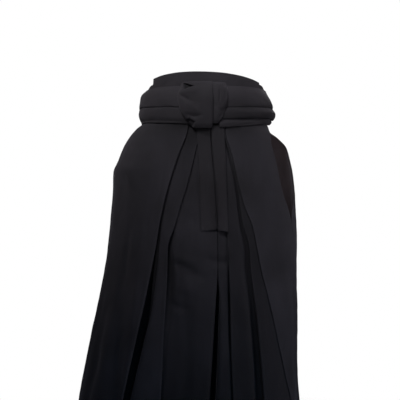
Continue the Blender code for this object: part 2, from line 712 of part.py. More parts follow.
def tail(name, table, pleats, leaves, across, slant, raised=0.0):
    """A hanging strap end that leaves the knot and comes to lie on the pleats, or raised over another."""
    top, bottom = table[0][0], table[-1][0]
    rows, heights = [], []
    for i in range(TAIL_STEPS + 1):
        z = mix(top, bottom, i / TAIL_STEPS)
        oval = outline_at(z)
        edges = look_up(table, TAIL_COLUMNS, z)
        row, levels = [], []
        for j in range(across + 1):
            t = j / across
            x = mix(edges["right"], edges["left"], t)
            px, py = oval.place(-1, oval.length_at_x(-1, x, 1), depth_on(pleats, z) - raised)
            leave = ease(1 - (top - z) / 0.09)
            row.append((px, mix(py, min(py, onto_rim(px, leaves, z)[1]), leave)))
            levels.append(z + slant * (t - 0.5) * i / TAIL_STEPS)
        rows.append(row)
        heights.append(levels)
    return wall(
        name, rows, STRAP, lambda i, j, p: (p[0], p[1], heights[i][j]), ("black tape", BLACK_TAPE)
    )


def build():
    for obj in list(bpy.data.objects):
        bpy.data.objects.remove(obj, do_unlink=True)

    leg_levels = [z for z in LEVELS if z <= CROTCH_Z]
    for side, name in ((-1, "right"), (1, "left")):
        panel(f"front_panel_{name}", front_line, side, LEVELS)
        panel(f"back_panel_{name}", back_line, side, LEVELS)
        panel(f"gusset_{name}", gusset_line, side, leg_levels)
        turn = (UPPER_TURN, side, BAND_ENDS - 0.2, -89.8, 14)
        strap(f"front_strap_{name}_upper", *turn, front=BAND_ENDS)
        profile = BACK_STRAP_RIGHT if side < 0 else BACK_STRAP_LEFT
        corner = tuple(-a for a in BOARD_CORNER)
        end = rim_angle(side, side * 0.004)
        strap(f"back_strap_{name}", profile, side, corner, end, 18, tuck_in=BOARD_CORNER[1])

    band = (WAISTBAND, -1, BAND_ENDS, 180 - BAND_ENDS, 18)
    strap("front_waistband", *band, power=1.2, tilt=BAND_TILT)
    strap("front_strap_right_lower", LOWER_TURN_RIGHT, -1, -89.8, rim_angle(-1, 0.012), 22, on_cloth=True)
    strap("front_strap_left_lower", LOWER_TURN_LEFT, 1, -89.8, rim_angle(1, 0.014), 22, on_cloth=True)
    strap("front_strap_left_crossing", CROSSING_TURN, 1, -40.0, rim_angle(1, 0.030), 14, on_cloth=True)
    back_board()
    knot_piece("knot_wrap", KNOT_WRAP, 6)
    knot_piece("knot_loop", KNOT_LOOP, 4)
    tail("knot_tail_right", TAIL_RIGHT, FRONT_PLEATS_RIGHT, TAIL_LEAVES[0], 4, TAIL_SLANT)
    tail("knot_tail_left", TAIL_LEFT, FRONT_PLEATS_LEFT[:2], TAIL_LEAVES[1], 4, -TAIL_SLANT, TAIL_OVERLAP)


build()
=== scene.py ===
"""Looks of the hakama: pleated, divided trousers in their worn, hollow form, tied in front.

Metres, +Z up, but lengths in the rows given to table, marks and new_pleat are in millimetres. The
front faces -Y and the wearer's right is -X. Each cloth piece is a thin wall on the form of its own
solid, finer, with pressed pleats, creases, doubled hems and seams.
"""

import math

import bpy
import numpy as np
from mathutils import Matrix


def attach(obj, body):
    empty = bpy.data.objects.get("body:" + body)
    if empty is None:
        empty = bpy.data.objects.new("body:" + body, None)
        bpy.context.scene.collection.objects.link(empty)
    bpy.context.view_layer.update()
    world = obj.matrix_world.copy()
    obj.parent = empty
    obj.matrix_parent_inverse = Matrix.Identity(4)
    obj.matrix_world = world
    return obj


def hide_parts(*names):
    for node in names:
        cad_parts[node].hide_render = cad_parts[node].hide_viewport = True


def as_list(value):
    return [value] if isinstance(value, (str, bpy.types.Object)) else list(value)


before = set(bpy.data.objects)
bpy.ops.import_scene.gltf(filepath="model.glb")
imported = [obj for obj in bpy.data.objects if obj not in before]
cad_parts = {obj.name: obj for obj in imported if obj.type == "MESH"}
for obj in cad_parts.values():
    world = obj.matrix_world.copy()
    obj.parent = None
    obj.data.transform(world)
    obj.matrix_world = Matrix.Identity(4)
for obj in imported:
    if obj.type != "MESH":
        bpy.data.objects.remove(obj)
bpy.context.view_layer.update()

# ---------------------------------------------------------------- sizes
CLOTH, STRAP, KNOT, TAIL = 0.0011, 0.0026, 0.0040, 0.0020  # thickness of each kind of wall
HEM_MM, SEAM_MM = -940, 0.3  # the height of the hem, and the room between pieces at a seam
HEM_Z, SEAM = HEM_MM / 1000, SEAM_MM / 1000
MIDDLE_Y = 0.010
CROTCH_Z = -0.457
SEAM_ALLOWANCE = 0.003
LEG_RETURN = 0.060  # cloth of a panel that turns in along the inside leg
LEG_RETURN_DROP = 0.060  # height over which it grows to that
HEM_TURN = 0.030  # height of the doubled hem
EDGE_TURN = 0.011  # cloth turned under along the side seams and slits
FOLD = 0.0007  # radius of that pressed fold
SEAM_RADII, LEG_RADIUS = (0.0010, 0.0016), 0.0100  # of the fold in the middle, above and below the crotch
SWELL = 1.3  # power by which the pleats grow from the waist to the hem
HELD_UNEVEN, LOOSE_UNEVEN, FINE_UNEVEN = 0.0004, 0.0012, 0.00035  # lumps of the panels' cloth
MEAN_RADIUS = 0.23  # turns an angle round the garment into a length
HIPS = ((-1, "right"), (1, "left"))


def metres(value):
    """Millimetres as metres, alone or in rows."""
    return tuple(metres(v) for v in value) if isinstance(value, tuple) else value / 1000


def table(lengths, *rows):
    """Rows whose first so many columns are lengths, in metres. The rest are shares, powers or degrees."""
    return tuple((*metres(row[:lengths]), *row[lengths:]) for row in rows)


def marks(*rows):
    """Creases from flat rows: points as across, z, then a width, and a depth that is negative on a ridge."""
    return tuple((tuple(zip(row[:-2:2], row[1:-2:2])), *row[-2:]) for row in metres(rows))


def new_pleat(edge, tuck, lift, steep, *gap):
    """A pleat by its edge's column, how far it tucks under and lifts, at the waist and at the hem, and
    the hollow beside its edge. A steep hollow has a sharp far side. Painted shade darkens the hollow's
    cloth by the share "dark", and the cloth beyond it by the share "dim"."""
    return {"edge": edge, "tuck": metres(tuck), "lift": metres(lift), "steep": steep, "gap": table(3, *gap)}


# dark and dim are shares of painted shade: on a hollow's cloth and on the cloth beyond it
GAP_COLUMNS = ("z", "wide", "deep", "dark", "dim")
OUTLINE_COLUMNS = ("z", "right", "left", "front", "back", "square_front", "square_back")
OUTLINE = table(
    5,
    (0, 168, 166, 128, 114, 2.2, 3.2),
    (-30, 176.5, 176, 141, 120, 2.2, 3),
    (-64, 177.5, 172, 149, 126, 2.2, 2.8),
    (-80, 195, 184, 152, 132, 2.2, 2.7),
    (-100, 211.5, 206, 155, 142, 2.3, 2.6),
    (-130, 230, 229, 159, 157, 2.3, 2.5),
    (-165, 244, 237, 163, 169, 2.4, 2.5),
    (-200, 258.5, 242.5, 168, 178, 2.4, 2.5),
    (-260, 260, 245.5, 174.5, 186, 2.4, 2.5),
    (-345, 266.5, 248.5, 181, 189, 2.5, 2.5),
    (-457, 279, 251.5, 189, 188, 2.5, 2.5),
    (-530, 292.5, 250.5, 195, 188, 2.6, 2.5),
    (-620, 312, 248.5, 200, 190, 2.7, 2.6),
    (-700, 328, 247.5, 206, 195, 2.7, 2.7),
    (-780, 342, 250.5, 211, 200, 2.8, 2.8),
    (-860, 356, 257, 217, 205, 2.9, 2.9),
    (-940, 370, 265, 222, 210, 3, 3),
)
PLEAT_COLUMNS = (
    "z", "right_outer", "right_inner", "slot_right", "slot_left", "left_inner", "left_middle", "left_outer",
)
PLEATS = table(
    8,
    (0, -36, -13, 10.5, 11.9, 30, 42, 46),
    (-64, -44, -17, 11, 12.4, 32.5, 45, 49),
    (-100, -51, -19.6, 11.4, 12.8, 33.5, 46.4, 50.5),
    (-165, -75, -33, 15.3, 16.7, 38.3, 63.4, 68),
    (-240, -98.8, -52, 20.2, 21.6, 45.5, 80, 84),
    (-300, -114.2, -71, 24.5, 25.9, 50, 88.5, 101),
    (-345, -123.2, -84, 26.8, 28.2, 53, 96.5, 119.5),
    (-400, -132.2, -102, 27.6, 29, 56, 111, 130.5),
    (-457, -143, -103.2, 27.8, 29.2, 58.5, 114.5, 141.5),
    (-530, -157.5, -105.8, 23.6, 32.8, 61.2, 123.5, 160.5),
    (-620, -178, -111.5, 18, 30.3, 63, 134, 181.5),
    (-700, -196.5, -115, 13, 27.9, 65.5, 141.5, 198.5),
    (-780, -215, -118.9, 7, 24.1, 69, 147, 217),
    (-860, -234.5, -123, 0, 20, 73.5, 154, 231.8),
    (-940, -254, -126.7, -8, 16, 78, 162, 244),
)
# Degrees from the widest point of a side: where its slit or seam lies, and how far it opens each way
SIDE_COLUMNS = ("z", "right", "right_front", "right_back", "left", "left_front", "left_back")
SIDES = table(
    1,
    (0, -4, 32, 36, 25, 5, 65),
    (-30, -4, 24, 29, 25, 2, 58),
    (-64, -4, 16, 22, 25, -6, 44),
    (-100, -4, 10, 13, 25, 11, 31),
    (-130, -4, 8, 10, 25, 19, 27),
    (-200, -4, 6, 8, 25, 17, 22),
    (-260, -4, 4, 7, 25, 12, 16),
    (-345, -4, 0, 0, 25, 0, 0),
    (-457, -4, 0, 0, 18, 0, 0),
    (-620, -4, 0, 0, 10, 0, 0),
    (-940, -4, 0, 0, 4, 0, 0),
)
FRONT_PLEATS_RIGHT = (
    new_pleat(
        "right_outer", (30, 75), (1.6, 10), 1,
        (0, 2, 0, 0.1, 1), (-100, 3, 1, 0.1, 0.95), (-180, 6, 2, 0.1, 0.4), (-300, 6, 3, 0.3, 0.05),
        (-390, 8, 7, 0.7, 0), (-440, 13, 16, 1, 0), (-510, 18, 26, 1, 0), (-570, 22, 32, 1, 0),
        (-650, 20, 34, 1, 0), (-780, 18, 34, 1, 0.1), (-940, 22, 36, 1, 0.3),
    ),
    new_pleat(
        "right_inner", (22, 60), (1.6, 3), 0,
        (0, 2, 0, 0.1, 0.75), (-120, 3, 1, 0.1, 0.7), (-200, 7, 3, 0.4, 0.35), (-290, 8, 2, 0.4, 0.1),
        (-350, 8, 3, 0.4, 0), (-385, 14, 11, 0.7, 0), (-430, 18, 11, 0.9, 0.1),
        (-510, 30, 11, 0.8, 0.15), (-570, 26, 8, 0.7, 0.2), (-640, 14, 3, 0.5, 0.3),
        (-780, 8, 2, 0.4, 0.85), (-940, 12, 4, 0.5, 1),
    ),
)
FRONT_PLEATS_LEFT = (
    new_pleat(
        "left_outer", (30, 55), (1.4, 1.6), 0,
        (0, 2, 0, 0, 0.6), (-160, 3, 1, 0, 0.6), (-280, 6, 0, 0, 0.75), (-450, 8, 0, 0, 0.85),
        (-620, 10, 0, 0, 0.65), (-940, 12, 0, 0, 0.6),
    ),
    new_pleat(
        "left_middle", (26, 50), (1.6, 5.2), 0.1,
        (0, 2, 0, 0.1, 0.6), (-100, 6, 2, 0.1, 0.6), (-165, 8, 4, 0.4, 0.35), (-240, 8, 6, 0.9, 0.4),
        (-320, 12, 7, 0.8, 0.6), (-420, 26, 9, 0.6, 0.6), (-520, 24, 10, 0.5, 0.6),
        (-600, 24, 15, 0.6, 0.5), (-700, 26, 19, 0.7, 0.65), (-800, 26, 21, 0.7, 0.8),
        (-940, 28, 24, 0.8, 0.9),
    ),
    new_pleat(
        "left_inner", (18, 45), (1.8, 3.6), 1,
        (0, 1, 0, 0.1, 0.1), (-425, 1, 0, 0.1, 0.1), (-460, 4, 6, 0.8, 0.1), (-530, 6, 12, 0.9, 0.2),
        (-620, 6, 12, 0.9, 0.25), (-700, 4, 8, 0.9, 0.5), (-940, 10, 12, 1, 0.85),
    ),
)
BACK_PLEAT_EDGE = (0.018, 0.062)  # across, at the waist and the hem
BACK_PLEAT = new_pleat(
    None, (30, 70), (2, 8), 0.5,
    (0, 2, 0, 0.2, 0.2), (-300, 3, 1, 0.3, 0.1), (-450, 14, 9, 0.7, 0.1), (-620, 24, 18, 0.8, 0.2),
    (-940, 30, 22, 0.8, 0.3),
)
BACK_SLOT = (0.0007, 0.0120)  # half the gap between the back panels, down to the crotch and at the hem

# The oval that the straps are wound on, and the degrees round it at which the waistband ends
RIM = {
    "right": 0.1635, "left": 0.1635, "front": 0.1255, "back": 0.0980, "square_front": 2.2, "square_back": 2.2,
}
BAND_ENDS = 30.0
BAND_TILT = 0.006  # how far the waistband's top drops to the wearer's left, and rises to the right
STRAP_COLUMNS = ("z_back", "z_side", "z_front", "out_back", "out_side", "out_front")
WAISTBAND = table(
    6,
    (36, 36, 60, 0, 0, -0.5),
    (24, 24, 40, 1, 1, 1),
    (12, 12, 20, 2, 2, 2),
    (SEAM_MM, SEAM_MM, SEAM_MM, 3, 3.5, 2.7),
)
UPPER_TURN = table(
    6,
    (36, 25, 36, 0, 0, 0),
    (18, 13, 22.5, 1, 1.5, 1.5),
    (1, 1, 1, 1, 3, 3),
)
BACK_STRAP_RIGHT = table(
    6,
    (44, 26.5, 21.5, 27.5, 3.6, 7.2),
    (35, 12.5, 7, 26.5, 18, 22),
    (23, -5, -11, 25.5, 22.6, 28.5),
    (12, -18, -30, 24.5, 23.5, 29),
    (6, -22.5, -35.5, 24, 22.8, 28.8),
)
BACK_STRAP_LEFT = table(
    6,
    (44, 25, 21.5, 27.5, 3.6, 7.2),
    (35, 12.5, 7, 26.5, 10.5, 22),
    (23, -2, -11, 25.5, 18.5, 28.5),
    (12, -16.5, -30, 24.5, 23.5, 29),
    (6, -22.5, -35.5, 24, 23, 28.8),
)
LOWER_TURN_RIGHT = table(
    6,
    (-5, -10, -24, 1, 15.5, 19),
    (-11, -22.2, -34.6, 1, 18, 22.5),
    (-12.8, -24.9, -37.6, 1, 21.2, 26.8),
    (-14.6, -26.8, -39.4, 1, 23, 28.8),
    (-18, -30.5, -44, 1, 24, 30),
    (-26, -40, -54, 1, 24.5, 31.2),
    (-36, -53, -67, 1, 21.5, 31.8),
    (-45, -63.5, -79, 1, 16, 28.6),
)
LOWER_TURN_LEFT = table(
    6,
    (-5, -10, -24, 1, 15.5, 18.5),
    (-10.5, -22.2, -34.6, 1, 18.2, 22.5),
    (-12, -25, -37.6, 1, 21.6, 26.8),
    (-13.6, -27.2, -39.4, 1, 24.2, 28.8),
    (-16.5, -30.8, -44, 1, 26.8, 30),
    (-22, -37, -50, 1, 30, 31),
    (-30, -46, -60, 1, 28.5, 30.8),
    (-37, -52, -65.5, 1, 24.5, 30.6),
)
CROSSING_TURN = table(
    6,
    (-42, -48, -64, 1, 16.5, 25.5),
    (-47, -54, -70, 1, 17.5, 27.5),
    (-52, -59, -78.5, 1, 20, 32.5),
    (-58, -64, -88, 1, 17, 32.5),
)
# Degrees round the rim from the widest point of a side, less than 0 behind it
STRAP_ENDS = -89.8  # just short of the middle of the back
TUCK_IN = 24.0  # degrees over which a strap goes in behind the back panel
BACK_STRAP_STARTS, BACK_TUCK_IN = (-46.0, -39.5), 39.5  # by the board: at the top and bottom edge
REST_SOFTNESS = 0.0007  # how gently a strap comes to rest on the cloth under it
REST_GAP, TAIL_GAP = 0.0005, 0.0012  # room between the cloth and a strap, or a hanging end, on it
STRAP_UNEVEN, KNOT_UNEVEN = 0.0008, 0.0010
STRAP_SHADE_FROM = 0.78  # the share of a strap's width at which the shade of its lower edge starts
STRAP_SHADES = {  # painted shade of a strap where others lie over it: all over, and by its lower edge
    "front_strap_right_lower": (0.25, 0.80), "front_strap_left_lower": (0.15, 0.60),
    "front_strap_left_crossing": (0.10, 0.30),
    "back_strap_right": (0.0, 0.40), "back_strap_left": (0.0, 0.40),
}
# painted shade of the other straps: none all over, a little by the lower edge
PLAIN_SHADES = (0.0, 0.2)
UNDER_ROLLS = {"low": -0.122, "fade": 0.042, "share": 1.0}  # painted shade under the rolls: how far down the front panels it reaches, its fade and share
BOARD = {
    "bottom": 0.284, "top": 0.225, "height": 0.092, "thick": 0.006, "lean": 0.006, "corner_drop": 0.05,
    "crown": 0.0012,
}
KNOT_COLUMNS = ("out", "z", "right", "left", "out_right", "out_left")
KNOT_WRAP = table(
    6,
    (11, 25, -60, 12, 10.5, 10.8),
    (19, 30, -63, 13, 11, 18),
    (30, 26.2, -65, 13.8, 12.5, 28.8),
    (37.5, 13, -66.8, 14.2, 21.5, 36),
    (42, -2, -73, 14.5, 29.8, 40.2),
    (44, -15, -72.2, 14.8, 32.2, 41.8),
    (44.5, -34, -69, 14.8, 32.8, 42.2),
    (44, -52, -62.5, 15, 34.6, 41.6),
    (42.5, -68, -52, 15, 35.2, 40.4),
    (40, -80, -43, 14, 34.2, 38.2),
    (35, -90, -33, 11, 31, 34),
)
KNOT_LOOP = table(
    6,
    (11, 24, 10.5, 44, 8, 10.5),
    (18, 28.5, 10.5, 47, 14, 11.5),
    (28, 23.5, 10.8, 50, 24, 13.5),
    (34, 8, 11, 53, 31, 25),
    (37, -13, 11.2, 53, 35.2, 32),
    (37.6, -36, 11.2, 49, 36.2, 33.2),
    (37, -56, 11.2, 43, 35.8, 34.8),
    (35.6, -70, 11.5, 34, 34.5, 35),
    (32.5, -78, 12, 29, 31.8, 33),
)
# A hollow's points are its corners, and its width is that of its soft rim; it also gets painted shade
WRAP_HOLLOWS = marks(
    (-61.8, 29.6, -32.5, 17.2, -57.5, 7.2, 1.6, 8.5),
    (-52, -70, -44, -66.5, -30, -76, -33, -85, -48, -90, 2.8, 5),
)
LOOP_HOLLOWS = marks(
    (35, -44, 56, -30, 56, -58, 34, -62, 6, 3),
)
WRAP_CREASES = marks(
    (-66, 29, -69, 18, -68, 8, 2.8, -1.6),
    (-72, -2, -56, -13, -43, -23, 6, 3.4),
    (-60, 6, -38, 4, -18, 12, 9, -2.4),
    (-50, -56, -33, -62, -15, -59, 5.5, 2.6),
    (-42, -33, -24, -46, -12, -64, 10, -2.2),
    (-17, 23, -12, 2, -8, -24, 6, 1.2),
)
LOOP_CREASES = marks(
    (33, 6, 34.5, -6, 33.5, -19, 2.8, 2.2),
    (47.5, 4, 49, -6, 48, -16, 2.6, 2),
    (45.5, 21, 46.2, 18.5, 45.5, 16, 2.2, 3),
    (25, -42, 30, -54, 29, -68, 5, -2),
)
KNOT_SHAPES = {  # the table, parts a span, columns of points, and how widely each edge curls in
    "knot_wrap": (KNOT_WRAP, 14, 104, (0.26, 0.12), WRAP_CREASES, WRAP_HOLLOWS),
    "knot_loop": (KNOT_LOOP, 12, 64, (0.20, 0.55), LOOP_CREASES, LOOP_HOLLOWS),
}
TAIL_COLUMNS = ("z", "right", "left")
TAIL_RIGHT = table(
    3,
    (-86, -26, 8),
    (-130, -23, 10.5),
    (-200, -18.7, 17),
    (-280, -15.9, 22.5),
    (-354, -13.7, 27.5),
)
TAIL_LEFT = table(
    3,
    (-82, 13, 45.5),
    (-130, 15, 47),
    (-200, 21.8, 49),
    (-280, 28.6, 52),
    (-356, 30.2, 54.5),
)
TAIL_SLANT = 0.004
TAIL_DIM = (0.65, 0.10)  # painted shade of a tail, at its top and at its end
TAIL_TOP = 0.09  # the length over which a tail comes down from the knot onto the pleats
TAIL_SLACK, TAIL_CURL = 0.0007, 0.0008

# Soft folds of the hanging cloth: start and end, then width and depth at the hem
SOFT_FOLDS = {
    "front": marks(
        (-205, -280, -245, HEM_MM, 20, 12),
        (60, -520, 120, HEM_MM, 22, 6),
    ),
    "back": marks(
        (-150, -260, -215, HEM_MM, 30, 18),
        (-70, -400, -125, HEM_MM, 22, 10),
        (120, -260, 165, HEM_MM, 28, 16),
    ),
}

# Across is x on the front and back, and y on the sides
CREASES = {
    "front": marks(
        # wearer's right
        (-240, -190, -222, -222, -204, -258, 13, 4.2),
        (-226, -176, -205, -205, -190, -240, 12, -2.8),
        (-176, -130, -172, -190, -178, -262, 12, 1.6),
        (-196, -330, -209, -403, -217, -464, -232, -541, 6, 3),
        (-166, -420, -187, -560, -214, -760, 12, -2.6),
        (-150, -300, -158, -380, -176, -470, 9, 1.8),
        (-268, -420, -285, -560, -300, -720, 11, 2.6),
        (-262, -600, -276, -760, -290, -930, 16, -2.2),
        (-232, -640, -236, -690, -236, -740, 4.5, 4.4),
        # between the pleats
        (-90, -440, -62, -448, -34, -462, -4, -470, 7.5, 4.6),
        (-70, -462, -36, -474, 0, -478, 4.5, 4.4),
        (-86, -424, -56, -428, -26, -440, 6, -3),
        (-76, -500, -50, -504, -24, -508, 14, -3.4),
        (-96, -540, -76, -552, -50, -556, 7.5, 4.4),
        (6, -430, 34, -438, 62, -434, 9, 4.8),
        (-70, -300, -40, -330, -12, -344, 9, 1.4),
        (-60, -500, -52, -620, -58, -760, 12, 2.2),
        (-20, -480, -30, -640, -34, -800, 10, -2),
        (36, -360, 52, -372, 70, -392, 6, 1.6),
        (48, -430, 50, -560, 54, -700, 6, 1.2),
        # wearer's left
        (110, -120, 124, -170, 130, -230, 12, 1.4),
        (150, -150, 170, -230, 176, -330, 14, -1.8),
        (196, -330, 192, -440, 200, -600, 12, 2.6),
        (222, -520, 220, -660, 228, -900, 13, -3),
        (150, -480, 163, -600, 178, -760, 10, 1.8),
    ),
    "right": marks(
        (70, -250, 52, -420, 76, -680, 70, HEM_MM, 16, 10.5),
        (30, -330, 18, -520, 22, -800, 12, -6),
        (-20, -400, -26, -600, -16, HEM_MM, 12, 8.5),
        (-70, -420, -78, -600, -62, -820, 10, -5),
        (118, -200, 104, -320, 122, -480, 13, 6),
        (118, -500, 128, -700, 114, HEM_MM, 15, -8),
        (48, -262, 30, -300, 24, -350, 7, 4.6),
        (-118, -560, -126, -720, -120, HEM_MM, 13, 7.5),
    ),
    "left": marks(
        (84, -240, 66, -400, 88, -620, 92, HEM_MM, 15, 10),
        (34, -360, 26, -560, 36, -800, 12, -6),
        (-14, -440, -30, -640, -16, HEM_MM, 12, 8.8),
        (-78, -460, -86, -640, -70, -860, 10, -5),
        (122, -420, 132, -620, 120, HEM_MM, 15, -8),
        (140, -180, 122, -270, 132, -380, 13, 5),
        (-6, -352, 10, -384, 16, -430, 7, 4.6),
    ),
    "back": marks(
        (-130, -50, -116, -120, -124, -230, 14, 5.2),
        (-86, -40, -80, -100, -90, -190, 11, -3.6),
        (-186, -120, -170, -190, -176, -310, 15, -5.6),
        (94, -44, 88, -120, 100, -230, 12, 4.8),
        (156, -90, 144, -170, 156, -290, 15, -5.4),
        (-110, -290, -78, -340, -44, -372, 10, 5.6),
        (-78, -360, -56, -392, -36, -412, 7, 4.4),
        (120, -300, 86, -352, 52, -380, 10, 5.4),
        (80, -372, 60, -398, 44, -410, 9, 3.4),
        (-214, -330, -206, -520, -232, -760, -246, HEM_MM, 16, 11.5),
        (-176, -420, -178, -600, -196, -860, 12, -7),
        (-116, -440, -124, -600, -138, -800, 11, 6.4),
        (-82, -500, -90, -680, -98, HEM_MM, 10, -5),
        (212, -340, 198, -520, 214, -760, 220, HEM_MM, 15, 11.2),
        (172, -400, 164, -580, 176, -860, 11, -6.6),
        (120, -460, 122, -640, 130, -840, 12, 7),
        (86, -520, 92, -700, 98, HEM_MM, 13, -4.6),
    ),
}


# ---------------------------------------------------------------- numbers
def mix(a, b, t):
    return a + (b - a) * t


def ease(t):
    t = np.clip(t, 0.0, 1.0)
    return t * t * (3 - 2 * t)


def curve(keys, values, at):
    """Values on a smooth curve through a table whose keys rise, which never overshoots it."""
    keys, values, at = (np.asarray(a, float) for a in (keys, values, at))
    width, rise = np.diff(keys), np.diff(values)
    step = rise / width
    both, total = step[:-1] * step[1:], step[:-1] + step[1:]
    inner = np.where(both > 0, 2 * both / np.where(both > 0, total, 1.0), 0.0)
    m = np.concatenate(([step[0]], inner, [step[-1]]))
    at = np.clip(at, keys[0], keys[-1])
    i = np.clip(np.searchsorted(keys, at, side="right") - 1, 0, len(keys) - 2)
    t = (at - keys[i]) / width[i]
    bend0, bend1 = m[i] * width[i] - rise[i], rise[i] - m[i + 1] * width[i]
    return values[i] + t * rise[i] + t * (1 - t) * ((1 - t) * bend0 + t * bend1)


def columns(rows, names, z):
    """The columns of a table of falling heights, at heights z."""
    keys = [-row[0] for row in rows]
    return {n: curve(keys, [row[i] for row in rows], -np.asarray(z, float)) for i, n in enumerate(names) if i}


def through(points, parts):
    """Centripetal curves through rows of control points (rows, n, k), each span cut into its parts."""
    p = np.concatenate((2 * points[:, :1] - points[:, 1:2], points, 2 * points[:, -1:] - points[:, -2:-1]), 1)
    out = [points[:, :1]]
    knot = np.maximum(np.linalg.norm(np.diff(p, axis=1), axis=2), 1e-7) ** 0.5
    for s, count in enumerate(parts):
        a, b, c, d = (p[:, s + k][:, None] for k in range(4))
        t1 = knot[:, s][:, None, None]
        t2 = t1 + knot[:, s + 1][:, None, None]
        t3 = t2 + knot[:, s + 2][:, None, None]
        t = t1 + (t2 - t1) * (np.arange(1, count + 1) / count)[None, :, None]
        ab = (a * (t1 - t) + b * t) / t1
        bc = (b * (t2 - t) + c * (t - t1)) / (t2 - t1)
        cd = (c * (t3 - t) + d * (t - t2)) / (t3 - t2)
        abc = (ab * (t2 - t) + bc * t) / t2
        bcd = (bc * (t3 - t) + cd * (t - t1)) / (t3 - t1)
        out.append((abc * (t2 - t) + bcd * (t - t1)) / (t2 - t1))
    return np.concatenate(out, 1)


def halve(low, high, short):
    """Where short(place) stops being true between low and high, by halving what is between them."""
    for _ in range(34):
        middle = (low + high) / 2
        below = short(middle)
        low, high = np.where(below, middle, low), np.where(below, high, middle)
    return low


WAVES = (  # across, down (waves a metre), phase and share of each wave of the cloth's unevenness
    (7.1, 2.3, 0.4, 1.00), (-11.3, 4.9, 2.1, 0.70), (17.9, -3.7, 4.4, 0.50), (-23.0, 9.5, 1.2, 0.34),
    (5.2, 13.1, 5.3, 0.42), (31.7, 6.1, 3.3, 0.22), (-9.4, -21.7, 0.9, 0.24), (43.0, -14.0, 2.7, 0.13),
)
WAVES_SUM = sum(share for *_, share in WAVES)


def uneven(s, z, seed):
    """Smooth unevenness of cloth, about -1 to 1, over a place across and a height. Both are bent
    by 20 mm first, so that the waves don't run straight."""
    s, z = s + 0.02 * np.sin(17 * z + seed), z + 0.02 * np.sin(23 * s + 1.7 * seed)
    total = 0
    for k, (a, b, phase, share) in enumerate(WAVES):
        total = total + share * np.sin(math.tau * (a * s + b * z) + phase + seed * (1 + k))
    return total / WAVES_SUM * 1.8


# ---------------------------------------------------------------- outline
def around(oval, side, angle):
    """Points and outward normals at degrees round an oval from the widest point of a side."""
    turn = np.radians(angle)
    c, s = np.cos(turn), np.sin(turn)
    square = np.where(s >= 0, oval["square_front"], oval["square_back"])
    wide = np.where((c >= 0) == (side > 0), oval["left"], oval["right"])
    deep = np.where(s >= 0, oval["front"] + MIDDLE_Y, oval["back"] - MIDDLE_Y)
    u, v = np.abs(c) ** (2 / square), np.abs(s) ** (2 / square)
    x, y = side * np.copysign(wide * u, c), MIDDLE_Y - np.copysign(deep * v, s)
    nx = side * np.copysign(u ** (square - 1) / wide, c)
    ny = -np.copysign(v ** (square - 1) / deep, s)
    size = np.hypot(nx, ny)
    return x, y, nx / size, ny / size


class Outline:
    """The garment's oval at rows of heights. A run is a length round it from its widest point."""

    ANGLES = np.arange(-130.0, 130.5, 1.0)

    def __init__(self, z):
        self.z = np.asarray(z, float)
        self.oval = {n: v[:, None] for n, v in columns(OUTLINE, OUTLINE_COLUMNS, self.z).items()}
        self.runs = {side: self._runs(side) for side, _ in HIPS}

    def _runs(self, side):
        angles = np.broadcast_to(self.ANGLES, (len(self.z), len(self.ANGLES)))
        x, y, *_ = around(self.oval, side, angles)
        steps = np.cumsum(np.hypot(np.diff(x), np.diff(y)), axis=1)
        run = np.concatenate((np.zeros((len(x), 1)), steps), 1)
        return run - run[:, [int(np.argmin(np.abs(self.ANGLES)))]]

    def run_at(self, side, angle):
        angles = np.broadcast_to(angle, self.z.shape)
        return np.array([np.interp(a, self.ANGLES, r) for a, r in zip(angles, self.runs[side])])

    def angle_at(self, side, run):
        return np.array([np.interp(a, r, self.ANGLES) for a, r in zip(run, self.runs[side])])

    def run_at_x(self, side, x, face):
        out = side * x
        o = {n: v[:, 0] for n, v in self.oval.items()}
        wide = np.where((out >= 0) == (side > 0), o["left"], o["right"])
        square = o["square_front"] if face > 0 else o["square_back"]
        angle = np.degrees(np.arccos(np.minimum(np.abs(out) / wide, 1.0) ** (square / 2)))
        return self.run_at(side, face * np.where(out >= 0, angle, 180 - angle))

    def place(self, side, run, depth):
        """Points at runs (rows, n) round the oval, moved inwards by a depth, the folds and creases."""
        x, y, nx, ny = around(self.oval, side, self.angle_at(side, run))
        z = np.broadcast_to(self.z[:, None], x.shape)
        depth = depth + sunk(x, y, z)
        return np.stack((x - nx * depth, y - ny * depth, z), 2)


def off_line(across, z, points):
    """Distance to a broken line, and how far along it the nearest point lies, 0 to 1."""
    best, where = np.full(np.shape(across), np.inf), np.zeros(np.shape(across))
    for k, ((a0, z0), (a1, z1)) in enumerate(zip(points, points[1:])):
        da, dz = a1 - a0, z1 - z0
        t = np.clip(((across - a0) * da + (z - z0) * dz) / (da * da + dz * dz), 0, 1)
        far = np.hypot(across - a0 - t * da, z - z0 - t * dz)
        near = far < best
        best, where = np.where(near, far, best), np.where(near, (k + t) / (len(points) - 1), where)
    return best, where


def creased(across, z, crease, ends, blunt):
    """Depth of a crease at places, fading out towards its ends."""
    points, width, depth = crease
    far, where = off_line(across, z, points)
    return depth * np.exp(-((far / width) ** 2)) * np.sin(np.pi * mix(*ends, where)) ** blunt


